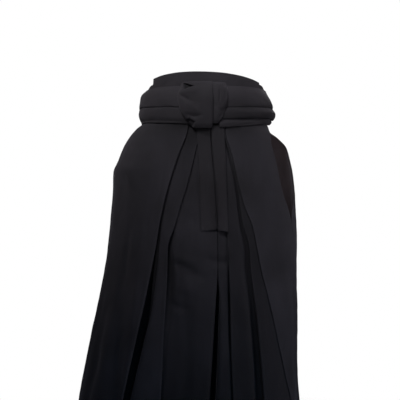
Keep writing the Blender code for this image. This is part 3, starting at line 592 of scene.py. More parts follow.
def sunk(x, y, z):
    """How far the folds, creases and unevenness of the cloth move a place on the outline inwards."""
    on = {"front": y < MIDDLE_Y, "back": y >= MIDDLE_Y, "right": x < 0, "left": x >= 0}
    total = np.zeros(np.shape(x))
    for face, folds in SOFT_FOLDS.items():
        for ((x0, z0), (x1, z1)), width, depth in folds:
            t = (z - z0) / (z1 - z0)
            grown = depth * np.clip(t, 0, 1) ** 0.7
            total += np.where(on[face] & (t > 0), grown * np.exp(-(((x - mix(x0, x1, t)) / width) ** 2)), 0)
    for face, creases in CREASES.items():
        for crease in creases:
            depth = creased(x if face in ("front", "back") else y, z, crease, (0.12, 0.92), 0.8)
            total += np.where(on[face] & (z < 0.0), depth, 0)
    round_it = np.arctan2(x, MIDDLE_Y - y) * MEAN_RADIUS
    loose = ease((-0.07 - z) / 0.25)  # the straps hold the cloth, which loosens below them
    total += (HELD_UNEVEN + LOOSE_UNEVEN * loose) * uneven(round_it, 0.45 * z, 3.0)
    return total + FINE_UNEVEN * uneven(3.1 * round_it, 2.2 * z, 8.0)


# ---------------------------------------------------------------- panels
def grown_down(z):
    return np.maximum(z / HEM_Z, 0) ** SWELL


def pleat_sizes(pleat, z):
    """Tuck, lift, width and depth of the hollow, and how unfaded it and the cloth beyond are, at heights."""
    gap = columns(pleat["gap"], GAP_COLUMNS, z)
    return (*(mix(*pleat[size], grown_down(z)) for size in ("tuck", "lift")), *gap.values())


def lifted(pleats, z):
    """How deep the cloth lies that some pleats lie over."""
    return 2 * sum(pleat_sizes(p, z)[1] for p in pleats)


def side_angle(z, side, face):
    row = columns(SIDES, SIDE_COLUMNS, z)
    name = "right" if side < 0 else "left"
    return row[name] + face * row[name + ("_front" if face > 0 else "_back")]


def middle_radius(z):
    """Radius of the fold where a panel turns in at the middle: a tight seam, then an open leg."""
    return mix(mix(*SEAM_RADII, np.clip(z / CROTCH_Z, 0, 1)), LEG_RADIUS, ease((-0.43 - z) / 0.30))


def leg_return(z):
    grown = np.clip((CROTCH_Z - z) / LEG_RETURN_DROP, 0.0, 1.0)
    return middle_radius(z) + mix(SEAM_ALLOWANCE, LEG_RETURN, grown)


def back_slot(z):
    return mix(*BACK_SLOT, np.maximum((CROTCH_Z - z) / (CROTCH_Z - HEM_Z), 0.0))


def developed(start, edges, pleats, sizes, end, end_depth, counts):
    """A panel's line from the side to the middle as (run, depth) points, with the parts each span is
    cut into, how pressed each point is and how much painted shade darkens it inside the pleats."""
    zero = np.zeros_like(start)
    line, parts, press, inner = [(start, zero)], [], [0.0], [zero]

    # each point's painted shade is full by default, for the cloth under a pleat
    def to(run, depth, count, pressed=0.0, painted_shade=1.0):
        line.append((run, depth + zero))
        parts.append(count)
        press.append(pressed)
        inner.append(painted_shade + zero)

    depth = dimmed = zero
    for number, (edge, pleat, (tuck, lift, wide, deep, dark, dim)) in enumerate(zip(edges, pleats, sizes)):
        back = np.maximum(edge - tuck, mix(start, edge, 0.15))
        bend, steep = lift / 2, pleat["steep"]
        # the cloth up to the edge, and round it
        if number == 0:
            to(back, depth, counts[0], 0.0, 0.0)
        to(mix(np.maximum(line[-1][0], back), edge - bend, 0.85), depth, counts[1], 0.0, dimmed)
        to(edge - bend, depth, 3, 0.6, 0.9 * dimmed)
        to(edge - 0.3 * bend, depth + 0.15 * lift, 2, 1.0, 0.7 * dimmed)
        to(edge, depth + 0.5 * lift, 2, 1.0, mix(0.2, 0.6, dark))
        to(edge - 0.3 * bend, depth + 0.85 * lift, 2, 1.0)
        # under it and round the fold at the back
        to(edge - bend, depth + lift, 2, 0.6)
        to(mix(edge, back, 0.5), depth + lift, 4)
        to(back + bend, depth + lift, 4)
        to(back, depth + 1.5 * lift, 3, 1.0)
        # out again, and through the hollow
        depth = depth + 2 * lift
        # painted shade of the hollow: the share dark, by how deep it is, and never less than the share dim
        hollow = np.maximum(np.clip(deep / 0.012, 0, 1) * dark, dim)
        to(back + bend, depth, 3)
        to(mix(edge, back, 0.5), depth + 0.4 * deep, 5)
        to(edge, depth + mix(0.92, 1.0, steep) * deep, 5, 0.0, mix(0.3, 1.0, hollow))
        for run, drop, shade in (
            (mix(0.35, 0.62, steep), mix(0.85, 1.0, steep), mix(0.75, 1.0, steep)),
            (mix(0.75, 0.93, steep), mix(0.25, 0.5, steep), mix(0.25, 0.9, steep)),
            (1.0, mix(0.0, 0.06, steep), 0.0),
        ):
            to(edge + run * wide, depth + drop * deep, 3, 0.0, mix(dim, hollow, shade))
        dimmed = dim
    to(end, end_depth, counts[2], 0.0, dimmed)
    return np.stack([np.stack(point, 1) for point in line], 1), parts, press, np.stack(inner, 1)


def panel_grid(z, side, face):
    """Points of a front (face 1) or back (-1) panel at rows of heights, and their press and painted shade."""
    out = Outline(z)
    radius = middle_radius(z)
    if face > 0:
        pleats, counts = (FRONT_PLEATS_RIGHT, (40, 12, 22)) if side < 0 else (FRONT_PLEATS_LEFT, (32, 8, 8))
        edge_x = columns(PLEATS, PLEAT_COLUMNS, z)
        edges = [out.run_at_x(side, edge_x[p["edge"]], 1) for p in pleats]
        x = edge_x["slot_right" if side < 0 else "slot_left"]
        end_depth = lifted(FRONT_PLEATS_RIGHT, z)
    else:
        pleats, counts = (BACK_PLEAT,), (52, 14, 10)
        edges = [-out.run_at_x(side, side * mix(*BACK_PLEAT_EDGE, grown_down(z)), -1)]
        x = side * back_slot(z)
        end_depth = lifted(pleats, z)
    start = face * out.run_at(side, side_angle(z, side, face)) + SEAM / 2
    end = face * out.run_at_x(side, x + side * radius, face)
    sizes = [pleat_sizes(p, z) for p in pleats]
    line, parts, press, inner = developed(start, edges, pleats, sizes, end, end_depth, counts)
    # painted shade on the front panels just under the rolls of strap
    if face > 0:
        under = ease((z - UNDER_ROLLS["low"]) / UNDER_ROLLS["fade"])[:, None]
        inner = np.maximum(inner, UNDER_ROLLS["share"] * under)

    # the edge at the side is turned under by a pressed fold
    turn = ((EDGE_TURN, 2.2), (0.5 * EDGE_TURN, 2.2), (FOLD, 2.0), (0.2 * FOLD, 1.0))
    first = [np.stack((start + run, np.full_like(start, depth * FOLD)), 1) for run, depth in turn]
    line[:, 0, 0] += FOLD
    parts = [3, 3, 2, 2, *parts]
    fine = through(np.concatenate((np.stack(first, 1), line), 1), parts)
    steps, places = np.arange(fine.shape[1]), np.cumsum([0, *parts])
    press = np.interp(steps, places, [0, 0, 0.5, 0.8, 0.3, *press[1:]])
    # painted shade on the cloth turned under at the side edge, fading out over its fold
    inner = np.concatenate((np.ones((len(z), 4)), inner), 1)
    inner[:, 3:5] = (0.5, 0.0)
    inner = np.array([np.interp(steps, places, row) for row in inner])
    points = out.place(side, face * fine[:, :, 0], fine[:, :, 1])

    # the other edge turns into the garment: a seam above the crotch and the inside leg below it
    y = points[:, -1, 1]
    points[:, -1, 0] = x + side * radius
    turned = []
    for a in (math.radians(90 * k / 6) for k in range(1, 7)):
        turned.append((x + side * radius * (1 - math.sin(a)), y + face * radius * (1 - math.cos(a)), z))
    turned += [(x, y + face * mix(radius, leg_return(z), k / 8), z) for k in range(1, 9)]
    points = np.concatenate((points, np.stack([np.stack(point, 1) for point in turned], 1)), 1)
    # painted shade on the cloth that turns in at the middle
    turned_in = np.maximum(np.minimum(np.arange(1, len(turned) + 1) / 5, 1.0)[None, :], inner[:, -1:])
    press = np.concatenate((press, np.zeros(len(turned))))
    return points, {"press": press[None, :], "inner": np.concatenate((inner, turned_in), 1)}


def gusset_grid(z, side):
    """The inside leg between the returns of the front and back panels."""
    front, back = (panel_grid(z, side, face)[0][:, -1] for face in (1, -1))
    gap = 2 * SEAM
    t = np.linspace(0, 1, 25)[None, :]
    x = mix(front[:, :1], back[:, :1], t)
    y = front[:, 1:2] + gap + (back[:, 1:2] - front[:, 1:2] - 2 * gap) * t
    rows = np.broadcast_to(z[:, None], x.shape)
    free = ease((CROTCH_Z - rows) / 0.2) * np.sin(np.pi * t)
    x = x + side * free * (0.003 * uneven(1.3 * y, 0.5 * rows, 5.0 + side) + 0.002 * np.sin(3 * np.pi * t))

    # the slack of both legs leans to one side in two broad folds, which close the view between them
    edge_x = columns(PLEATS, PLEAT_COLUMNS, z)
    middle = mix(edge_x["slot_right"], edge_x["slot_left"], 0.5)
    lean = np.exp(-(((t - 0.30) / 0.13) ** 2)) - 0.9 * np.exp(-(((t - 0.68) / 0.14) ** 2))
    away = np.abs(front[:, :1] - middle[:, None])
    x = x + 1.15 * away * lean * ease((CROTCH_Z - rows) / 0.12)
    return np.stack((x, y, rows), 2)


# ---------------------------------------------------------------- meshes
SHARP_ANGLE = math.radians(55)


def linked(name, data):
    obj = bpy.data.objects.new(name, data)
    bpy.context.scene.collection.objects.link(obj)
    return obj


def cloth_mesh(name, points, faces, flat):
    """A smooth mesh with the place of each point on its flat cloth."""
    mesh = bpy.data.meshes.new(name)
    mesh.from_pydata(points.reshape(-1, 3).tolist(), [], faces)
    loops = np.zeros(len(mesh.loops), np.int32)
    mesh.loops.foreach_get("vertex_index", loops)
    mesh.uv_layers.new(name="Cloth").data.foreach_set("uv", flat[loops].astype(np.float32).ravel())
    mesh.polygons.foreach_set("use_smooth", np.ones(len(mesh.polygons), bool))
    return mesh


def unit(v):
    return v / np.maximum(np.linalg.norm(v, axis=-1, keepdims=True), 1e-12)


def lengths(points, axis):
    """Length along each row or column of a grid, from its start."""
    steps = np.linalg.norm(np.diff(points, axis=axis), axis=2)
    pad = [(0, 0), (0, 0)]
    pad[axis] = (1, 0)
    return np.pad(np.cumsum(steps, axis=axis), pad)


def from_middle(points):
    return points * (1, 1, 0) - (0, MIDDLE_Y, 0)


def outward(points):
    """The way the cloth faces at each point of a grid, away from the wearer."""
    normals = np.cross(np.gradient(points, axis=1), np.gradient(points, axis=0))
    return (1 if (normals * from_middle(points)).sum() > 0 else -1) * unit(normals)


def shell(name, points, outside, inside, rounded=0, values=None):
    """A closed wall on a grid of points: its outside and inside faces stand off by those distances.

    rounded is the number of extra points round each long edge. values are named numbers for each
    point of the grid, which the materials read.
    """
    rows, count = points.shape[:2]
    normals = outward(points)
    outside, inside = (np.broadcast_to(v, (rows, count))[:, :, None] for v in (outside, inside))
    top, under = points + normals * outside, points - normals * inside

    def edge(j, neighbour):
        """Points round the edge of a column, from the outside face to the inside face."""
        away = unit(points[:, j] - points[:, neighbour])
        middle, half = (top[:, j] + under[:, j]) / 2, (top[:, j] - under[:, j]) / 2
        size = np.linalg.norm(half, axis=1, keepdims=True)
        turns = [math.pi * i / (rounded + 1) for i in range(1, rounded + 1)]
        return [(middle + half * math.cos(a) + away * size * math.sin(a))[:, None] for a in turns]

    ring = np.concatenate((top, *edge(count - 1, count - 2), under[:, ::-1], *edge(0, 1)[::-1]), 1)
    along = np.arange(count)
    where = np.concatenate((along, np.full(rounded, count - 1), along[::-1], np.zeros(rounded, int)))
    index = np.arange(ring.shape[0] * ring.shape[1]).reshape(ring.shape[:2])
    after = np.roll(index, -1, axis=1)
    faces = np.stack((index[:-1], after[:-1], after[1:], index[1:]), 2).reshape(-1, 4).tolist()
    for row, at_end in ((index[0], False), (index[-1], True)):
        tops, unders = row[:count], row[count + rounded : 2 * count + rounded][::-1]
        cap = np.stack((tops[:-1], unders[:-1], unders[1:], tops[1:]), 1).tolist()
        if rounded:
            cap.append([unders[-1], *row[count : count + rounded][::-1], tops[-1]])
            cap.append([tops[0], *row[2 * count + rounded :][::-1], unders[0]])
        faces += [face[::-1] for face in cap] if at_end else cap
    facing = np.cross(ring[:-1, 1] - ring[:-1, 0], ring[1:, 0] - ring[:-1, 0])
    if (facing * normals[:-1, 0]).sum() < 0:
        faces = [face[::-1] for face in faces]

    flat = np.stack((lengths(points, 1), -lengths(points, 0)), 2)[:, where].reshape(-1, 2)
    mesh = cloth_mesh(name, ring, [[int(v) for v in face] for face in faces], flat)
    for key, value in (values or {}).items():
        grid = np.broadcast_to(value, (rows, count))[:, where]
        mesh.attributes.new(key, "FLOAT", "POINT").data.foreach_set("value", grid.astype(np.float32).ravel())
    mesh.set_sharp_from_angle(angle=SHARP_ANGLE)
    mesh.update()
    return linked(name, mesh)


# ---------------------------------------------------------------- waist
def from_rim(side, angle, out, z):
    x, y, nx, ny = around(RIM, side, angle)
    return np.stack(np.broadcast_arrays(x + nx * out, y + ny * out, z), -1)


def onto_rim(x, out, z):
    """Points in front of the rim at an x, standing out from it."""
    low = np.zeros(np.shape(x))
    return from_rim(-1, halve(low, low + 180, lambda angle: from_rim(-1, angle, out, z)[..., 0] < x), out, z)


def rim_angle(side, x):
    """Degrees round the rim to an x on its front."""
    return float(halve(0.0, 180.0, lambda angle: from_rim(side, angle, 0.0, 0.0)[..., 0] * side > x * side))


def clear_of_cloth(side, angle, z):
    """How far out from the rim a strap lies where it rests on the front panel."""
    oval = columns(OUTLINE, OUTLINE_COLUMNS, np.minimum(z - 0.003, 0.0))
    square = oval["square_front"]

    def inside(out):
        x, y, _ = np.moveaxis(from_rim(side, angle, out, z), -1, 0)
        wide = np.where(x < 0, oval["right"], oval["left"])
        deep = oval["front"] + MIDDLE_Y
        return (np.abs(x) / wide) ** square + (np.abs(y - MIDDLE_Y) / deep) ** square < 1

    low, high = (np.full(np.shape(z), end) for end in (-0.02, 0.06))
    return halve(low, high, inside) + (CLOTH + STRAP) / 2 + REST_GAP


def smooth_lines(rows, parts):
    """A table's lines joined by smooth curves: one row for each point across."""
    return through(np.array(rows, float)[None], [parts] * (len(rows) - 1))[0]


def strap_grid(
    profile, side, start, end, steps, tuck_in=TUCK_IN, front=90.0, power=2.0, tilt=0.0, on_cloth=False
):
    """A strap wound round the waist: its points, angles, and places across it."""
    lines = smooth_lines(profile, 5)
    t = np.linspace(0, 1, len(lines))
    at = dict(zip(STRAP_COLUMNS, lines.T))
    first, last = start if isinstance(start, tuple) else (start, start)
    angle = mix(mix(first, last, t)[None, :], end, np.linspace(0, 1, steps + 1)[:, None])
    turn = np.clip(angle, 0, 180)
    forward = np.sin(np.radians(90 * np.minimum(turn / front, 1) if front < 90 else turn)) ** power
    behind = ease(-angle / tuck_in)
    z, out = (
        mix(mix(at[n + "_side"], at[n + "_front"], forward), at[n + "_back"], behind) for n in ("z", "out")
    )
    if on_cloth:
        least = clear_of_cloth(side, angle, z)
        rests = least + REST_SOFTNESS * np.logaddexp(0.0, (out - least) / REST_SOFTNESS)
        out = np.where((angle > 0) & (angle < 180), rests, out)
    points = from_rim(side, angle, out, z)
    points[..., 2] -= tilt * (1 - t) * points[..., 0] / RIM["right"]
    return points, angle, np.broadcast_to(t, angle.shape)


def back_board():
    """The stiff board over the small of the back, in its cloth cover."""
    oval = columns(OUTLINE, OUTLINE_COLUMNS, 0.0)
    up, along = np.linspace(0, 1, 30)[:, None], np.linspace(-1, 1, 90)[None, :]
    x = mix(BOARD["bottom"], BOARD["top"], up) / 2 * along
    wide = np.where(x < 0, oval["right"], oval["left"])
    deep, square = oval["back"] - MIDDLE_Y, oval["square_back"]
    y = MIDDLE_Y + deep * (1 - (np.abs(x) / wide) ** square) ** (1 / square) + BOARD["lean"] * up
    crown = (1 - along**4) * (1 - (2 * up - 1) ** 4)
    z = SEAM + BOARD["height"] * up * (1 - BOARD["corner_drop"] * along**4)
    return np.stack((x, y + BOARD["crown"] * crown * (1 + 0.25 * uneven(2 * x, 2 * z, 2.0)), z), 2)


def within(x, z, corners):
    """Distance into a convex outline, negative outside it."""
    best = np.full(np.shape(x), np.inf)
    centre = np.mean(corners, axis=0)
    for (x0, z0), (x1, z1) in zip(corners, corners[1:] + corners[:1]):
        nx, nz = z1 - z0, x0 - x1
        turn = 1 if (centre[0] - x0) * nx + (centre[1] - z0) * nz > 0 else -1
        best = np.minimum(best, turn * ((x - x0) * nx + (z - z0) * nz) / math.hypot(nx, nz))
    return best


def knot_grid(rows, parts, count, curl_widths, creases, hollows):
    """A doubled strap drawn down over the wound turns: its edges curl in, and creases and hollows
    gather it. The second result is how much painted shade darkens each point, in its hollows."""
    at = {name: column[:, None] for name, column in zip(KNOT_COLUMNS, smooth_lines(rows, parts).T)}
    t = np.linspace(0, 1, count)[None, :]
    x = mix(at["right"], at["left"], t)
    z, out = at["z"] + 0 * t, at["out"] + 0 * t
    for from_edge, edge, wide in zip((t, 1 - t), ("out_right", "out_left"), curl_widths):
        near = np.clip(1 - from_edge / wide, 0, 1)
        out = mix(out, at[edge], 1 - np.sqrt(1 - near**2))
    for crease in creases:
        out = out - creased(x, z, crease, (0.15, 0.9), 0.7)
    # painted shade in the hollows, by how deep they are
    painted_shade = np.zeros(x.shape)
    for corners, soft, depth in hollows:
        inside = ease(0.5 + within(x, z, corners) / (2 * soft))
        out = out - depth * inside
        painted_shade = np.maximum(painted_shade, inside * min(depth / 0.008, 1.0))
    out = out + KNOT_UNEVEN * uneven(0.9 * x, 0.9 * z, 6.0)
    return onto_rim(x, out, z), painted_shade


def tail_grid(rows, pleats, proud, leaves, slant, seed):
    """A hanging strap end that leaves the knot and comes to lie on the cloth beyond some pleats.
    proud is how much less deep it lies, just under the knot and further down."""
    z = np.linspace(rows[0][0], rows[-1][0], 70)
    out = Outline(z)
    edge = columns(rows, TAIL_COLUMNS, z)
    t = np.linspace(0, 1, 17)[None, :]
    x = mix(edge["right"][:, None], edge["left"][:, None], t)
    run = np.stack([out.run_at_x(-1, column, 1) for column in x.T], 1)
    depth = lifted(pleats, z) - (CLOTH + STRAP) / 2 - TAIL_GAP - mix(*proud, ease((-0.24 - z) / 0.10))
    points = out.place(-1, run, depth[:, None] + TAIL_CURL * np.abs(2 * t - 1) ** 4)
    leave = ease(1 - (z[0] - z[:, None]) / TAIL_TOP)
    knot = onto_rim(points[..., 0], leaves, points[..., 2])[..., 1]
    points[..., 1] = mix(points[..., 1], np.minimum(points[..., 1], knot), leave)
    points[..., 1] -= TAIL_SLACK * (1 + uneven(points[..., 0], 0.7 * points[..., 2], seed)) * (1 - leave)
    points[..., 2] += slant * (t - 0.5) * np.linspace(0, 1, len(z))[:, None]
    return points


# ---------------------------------------------------------------- materials
def nodes_of(material):
    material.use_nodes = True
    tree = material.node_tree

    def add(kind, *links, **settings):
        """A node: settings go to its fields or, where they start with in_, to its sockets by number."""
        node = tree.nodes.new(kind)
        for key, value in settings.items():
            if key.startswith("in_"):
                node.inputs[int(key[3:])].default_value = value
            else:
                setattr(node, key, value)
        for number, source in links:
            tree.links.new(source, node.inputs[number])
        return node

    return tree, add


PAINTED_SHADE_COLOUR = (0.0006, 0.0006, 0.0009, 1)  # painted shade: the near-black that the base colour is mixed towards where the cloth lies in shade
WEAVE_HEIGHT = 0.00025


def cloth_material(name, dark, light, pitch, roughness, sheen, tint, bump):
    """Woven cloth: a fine twill of that pitch in metres, uneven threads, paler pressed edges, and painted
    shade by the attribute inner.
    """
    material = bpy.data.materials.new(name)
    tree, add = nodes_of(material)
    shader = tree.nodes["Principled BSDF"]
    place = add("ShaderNodeUVMap", uv_map="Cloth").outputs[0]
    body = add("ShaderNodeTexCoord").outputs[3]

    def calc(operation, *values):
        node = add("ShaderNodeMath", operation=operation)
        for number, value in enumerate(values):
            if isinstance(value, (int, float)):
                node.inputs[number].default_value = value
            else:
                tree.links.new(value, node.inputs[number])
        return node.outputs[0]

    def noise(source, scale, detail, rough):
        return add("ShaderNodeTexNoise", (0, source), in_2=scale, in_3=detail, in_4=rough).outputs[0]

    def slub(*stretch):
        return noise(add("ShaderNodeMapping", (0, place), in_3=stretch).outputs[0], 1.0, 2.0, 0.55)

    split = add("ShaderNodeSeparateXYZ", (0, place))
    u, v = (calc("DIVIDE", split.outputs[i], pitch) for i in (0, 1))
    diagonal = calc("SINE", calc("MULTIPLY", calc("ADD", u, v), math.pi))
    warp, weft = (calc("SINE", calc("MULTIPLY", way, math.tau)) for way in (u, v))
    crossed = calc("MULTIPLY", calc("MULTIPLY", warp, weft), 0.35)
    weave = calc("ADD", calc("ABSOLUTE", diagonal), crossed)
    warp_slub, weft_slub = slub(1300.0, 260.0, 1.0), slub(260.0, 1300.0, 1.0)
    cloud, grain = noise(body, 9.0, 3.0, 0.5), noise(body, 240.0, 2.0, 0.6)
    press, inner = (add("ShaderNodeAttribute", attribute_name=n).outputs["Fac"] for n in ("press", "inner"))

    share = calc("MULTIPLY", weave, 0.22)
    for value, weight in ((warp_slub, 0.12), (weft_slub, 0.12), (cloud, 0.62), (grain, 0.18), (press, 0.07)):
        share = calc("ADD", share, calc("MULTIPLY", value, weight))
    ramp = add("ShaderNodeValToRGB", (0, share))
    for stop, position, colour in zip(ramp.color_ramp.elements, (0.35, 1.05), (dark, light)):
        stop.position, stop.color = position, (*colour, 1)
    # painted shade: the attribute inner darkens the base colour towards a near-black, in the pleats, under
    # the rolls, knot and tails, inside the leg and on turned cloth
    deepest_shade = calc("MULTIPLY", calc("POWER", inner, 6.0), 0.22)
    shade_share = calc("ADD", calc("MULTIPLY", inner, 0.72), deepest_shade)
    painted_shade_mix = add("ShaderNodeMixRGB", (0, shade_share), (1, ramp.outputs[0]), in_2=PAINTED_SHADE_COLOUR)
    tree.links.new(painted_shade_mix.outputs[0], shader.inputs["Base Color"])

    rough = calc("ADD", calc("MULTIPLY", cloud, 0.10), roughness - 0.05)
    rough = calc("SUBTRACT", rough, calc("MULTIPLY", press, 0.10))
    tree.links.new(rough, shader.inputs["Roughness"])
    shader.inputs["Specular IOR Level"].default_value = 0.05
    shader.inputs["Sheen Weight"].default_value = sheen
    shader.inputs["Sheen Roughness"].default_value = 0.45
    shader.inputs["Sheen Tint"].default_value = (*tint, 1)

    slubs = calc("MULTIPLY", calc("ADD", warp_slub, weft_slub), 0.35)
    height = calc("ADD", calc("MULTIPLY", weave, 0.7), slubs)
    lumps = add("ShaderNodeBump", (3, height), in_0=bump, in_1=WEAVE_HEIGHT)
    tree.links.new(lumps.outputs[0], shader.inputs["Normal"])
    return material


LOOKS = {  # the darkest and lightest thread, pitch, roughness, sheen and its tint, and bump
    "black cloth": (
        (0.0011, 0.0011, 0.0014), (0.0072, 0.0070, 0.0090), 0.0011, 0.86, 0.012, (0.80, 0.82, 1.0), 0.35
    ),
    "black tape": (
        (0.0012, 0.0011, 0.0015), (0.0080, 0.0077, 0.0094), 0.0012, 0.84, 0.014, (0.86, 0.84, 1.0), 0.40
    ),
}
MATERIALS = {name: cloth_material(name, *looks) for name, looks in LOOKS.items()}

# ---------------------------------------------------------------- pieces
# The grid of points of each piece, for its stitching
GRIDS = {}


def dressed(node, name, slot, held, rests_on, points, outside, inside, **form):
    """A cloth piece on a grid, in the place of its solid."""
    GRIDS[node] = points
    obj = shell(name, points, outside, inside, **form)
    obj.data.materials.append(MATERIALS[slot])
    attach(obj, "root")
    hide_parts(node)
    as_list(rests_on)


def hem_extra(heights):
    """The doubled hem's extra wall at rows of heights."""
    return np.where(heights < HEM_Z + HEM_TURN, CLOTH, 0.0)[:, None]


HEIGHTS = -np.concatenate((np.arange(0.0, 0.20, 0.005), np.linspace(0.20, 0.94, 94)))
LEG_HEIGHTS = HEIGHTS[HEIGHTS <= CROTCH_Z]
for side, hip in HIPS:
    for face, panel, held_by in ((1, "front", "front_waistband"), (-1, "back", "back_board")):
        points, values = panel_grid(HEIGHTS, side, face)
        dressed(
            f"{panel}_panel_{hip}", f"{panel}_{hip}_cloth", "black cloth", "gathered", [held_by],
            points, CLOTH / 2, CLOTH / 2 + hem_extra(HEIGHTS), values=values,
        )
    # painted shade on the inside leg, all over
    dressed(
        f"gusset_{hip}", f"gusset_{hip}_cloth", "black cloth", "hung",
        [f"front_panel_{hip}", f"back_panel_{hip}"], gusset_grid(LEG_HEIGHTS, side),
        CLOTH / 2 + hem_extra(LEG_HEIGHTS), CLOTH / 2, values={"inner": 0.9},
    )

STRAPS = {  # the table, the side, degrees round the rim from the start to the end, and parts along it
    "front_waistband": (WAISTBAND, -1, BAND_ENDS, 180 - BAND_ENDS, 90, {"power": 1.2, "tilt": BAND_TILT}),
    "front_strap_right_upper": (UPPER_TURN, -1, BAND_ENDS - 0.2, STRAP_ENDS, 80, {"front": BAND_ENDS}),
    "front_strap_left_upper": (UPPER_TURN, 1, BAND_ENDS - 0.2, STRAP_ENDS, 80, {"front": BAND_ENDS}),
    "back_strap_right": (
        BACK_STRAP_RIGHT, -1, BACK_STRAP_STARTS, rim_angle(-1, -0.004), 110, {"tuck_in": BACK_TUCK_IN}
    ),
    "back_strap_left": (
        BACK_STRAP_LEFT, 1, BACK_STRAP_STARTS, rim_angle(1, 0.004), 110, {"tuck_in": BACK_TUCK_IN}
    ),
    "front_strap_right_lower": (
        LOWER_TURN_RIGHT, -1, STRAP_ENDS, rim_angle(-1, 0.012), 120, {"on_cloth": True}
    ),
    "front_strap_left_lower": (LOWER_TURN_LEFT, 1, STRAP_ENDS, rim_angle(1, 0.014), 120, {"on_cloth": True}),
    "front_strap_left_crossing": (CROSSING_TURN, 1, -40.0, rim_angle(1, 0.030), 90, {"on_cloth": True}),
}
for name, (profile, side, *way, form) in STRAPS.items():
    points, angle, t = strap_grid(profile, side, *way, **form)
    pulled = STRAP_UNEVEN * uneven(0.16 * np.radians(angle), 0.12 * t, side * 2.0 + len(name))
    points = points + unit(from_middle(points)) * pulled[..., None]
    # painted shade: the strap's all-over share, rising to its lower edge's share
    shade = mix(*STRAP_SHADES.get(name, PLAIN_SHADES), ease((t - STRAP_SHADE_FROM) / (1 - STRAP_SHADE_FROM)))
    hip = dict(HIPS)[side]
    if name == "front_waistband":
        lies_on = ["front_panel_right", "front_panel_left"]
    elif name.startswith("back"):
        lies_on = ["front_waistband", f"front_strap_{hip}_upper"]
    else:
        lies_on = [f"back_panel_{hip}" if name.endswith("upper") else f"front_panel_{hip}"]
    dressed(
        name, f"{name}_cloth", "black tape", "stretched", lies_on,
        points, STRAP / 2, STRAP / 2, rounded=3, values={"inner": shade},
    )

dressed(
    "back_board", "back_board_cover", "black cloth", "stretched", ["back_panel_right", "back_panel_left"],
    back_board(), BOARD["thick"] / 2, BOARD["thick"] / 2, rounded=5,
)
for (name, form), lies_on in zip(KNOT_SHAPES.items(), ("front_strap_right_lower", "front_strap_left_lower")):
    points, painted_shade = knot_grid(*form)
    dressed(
        name, f"{name}_cloth", "black tape", "folded", [lies_on],
        points, KNOT / 2, KNOT / 2, rounded=4, values={"inner": painted_shade},
    )

# Each tail: how it hangs, then where the knot's painted shadow on it starts to end and ends, below
# the tail's top, and how much lower both are at its left edge
TAILS = {
    "knot_tail_right": (
        (TAIL_RIGHT, FRONT_PLEATS_RIGHT, (0.0, 0.0), 0.0290, TAIL_SLANT, 1.0), (0.014, 0.024, 0.012)
    ),
    "knot_tail_left": (
        (TAIL_LEFT, FRONT_PLEATS_LEFT[:2], (0.0036, 0.0006), 0.0280, -TAIL_SLANT, 4.0), (0.004, 0.020, 0.0)
    ),
}
for name, (form, (near, far, lower)) in TAILS.items():
    points = tail_grid(*form)
    down = points[0, :, 2] - points[..., 2]
    below = down - lower * np.linspace(0, 1, down.shape[1])
    # painted shadow just under the knot, and painted shade that fades from the tail's top to its end
    shade = np.maximum(ease((far - below) / (far - near)), mix(*TAIL_DIM, ease(down / down.max())))
    dressed(
        name, f"{name}_cloth", "black tape", "hung", ["knot_wrap"],
        points, TAIL / 2, TAIL / 2, rounded=3, values={"inner": shade},
    )

# ---------------------------------------------------------------- stitching
STITCH_PITCH, STITCH_LENGTH, THREAD = 0.0032, 0.0022, 0.00026  # from stitch to stitch; a thread's radius
EDGE_INSET, BAND_INSET, BOARD_INSET = 0.0022, 0.0030, 0.0045  # how far in from an edge a row runs
SLIT_TOP, SLIT_END, SLIT_INSET, TOP_INSET, HEM_INSET = -0.010, -0.345, 0.0085, 0.005, HEM_TURN - 0.0015
SLIT_ROW = 1.3 * EDGE_TURN
HEM_PITCH, TACK_START, TACK_LENGTH, TACKS = 0.0064, 0.0005, 0.0070, 4


def line_on(values, runs, inset):
    """Values along a grid, on the line that far in from the first column, or from the last if negative."""
    line = []
    for row, run in zip(values, runs):
        at = inset if inset > 0 else run[-1] + inset
        line.append([np.interp(at, run, row[:, k]) for k in range(3)])
    return np.array(line)


def row_of_stitches(grid, runs, inset, pitch=STITCH_PITCH):
    """The middle, half-length and facing of each stitch on a line of a grid. grid holds the points of
    its outer face and the way that they face."""
    path, facing = (line_on(values, runs, inset) for values in grid)
    run = np.concatenate(([0.0], np.cumsum(np.linalg.norm(np.diff(path, axis=0), axis=1))))
    at = np.arange(pitch, run[-1] - pitch / 2, pitch)

    def on(values, places):
        return np.stack([np.interp(places, run, values[:, k]) for k in range(3)], 1)

    start, end = on(path, at - STITCH_LENGTH / 2), on(path, at + STITCH_LENGTH / 2)
    return [((a + b) / 2, (b - a) / 2, n) for a, b, n in zip(start, end, unit(on(facing, at)))]


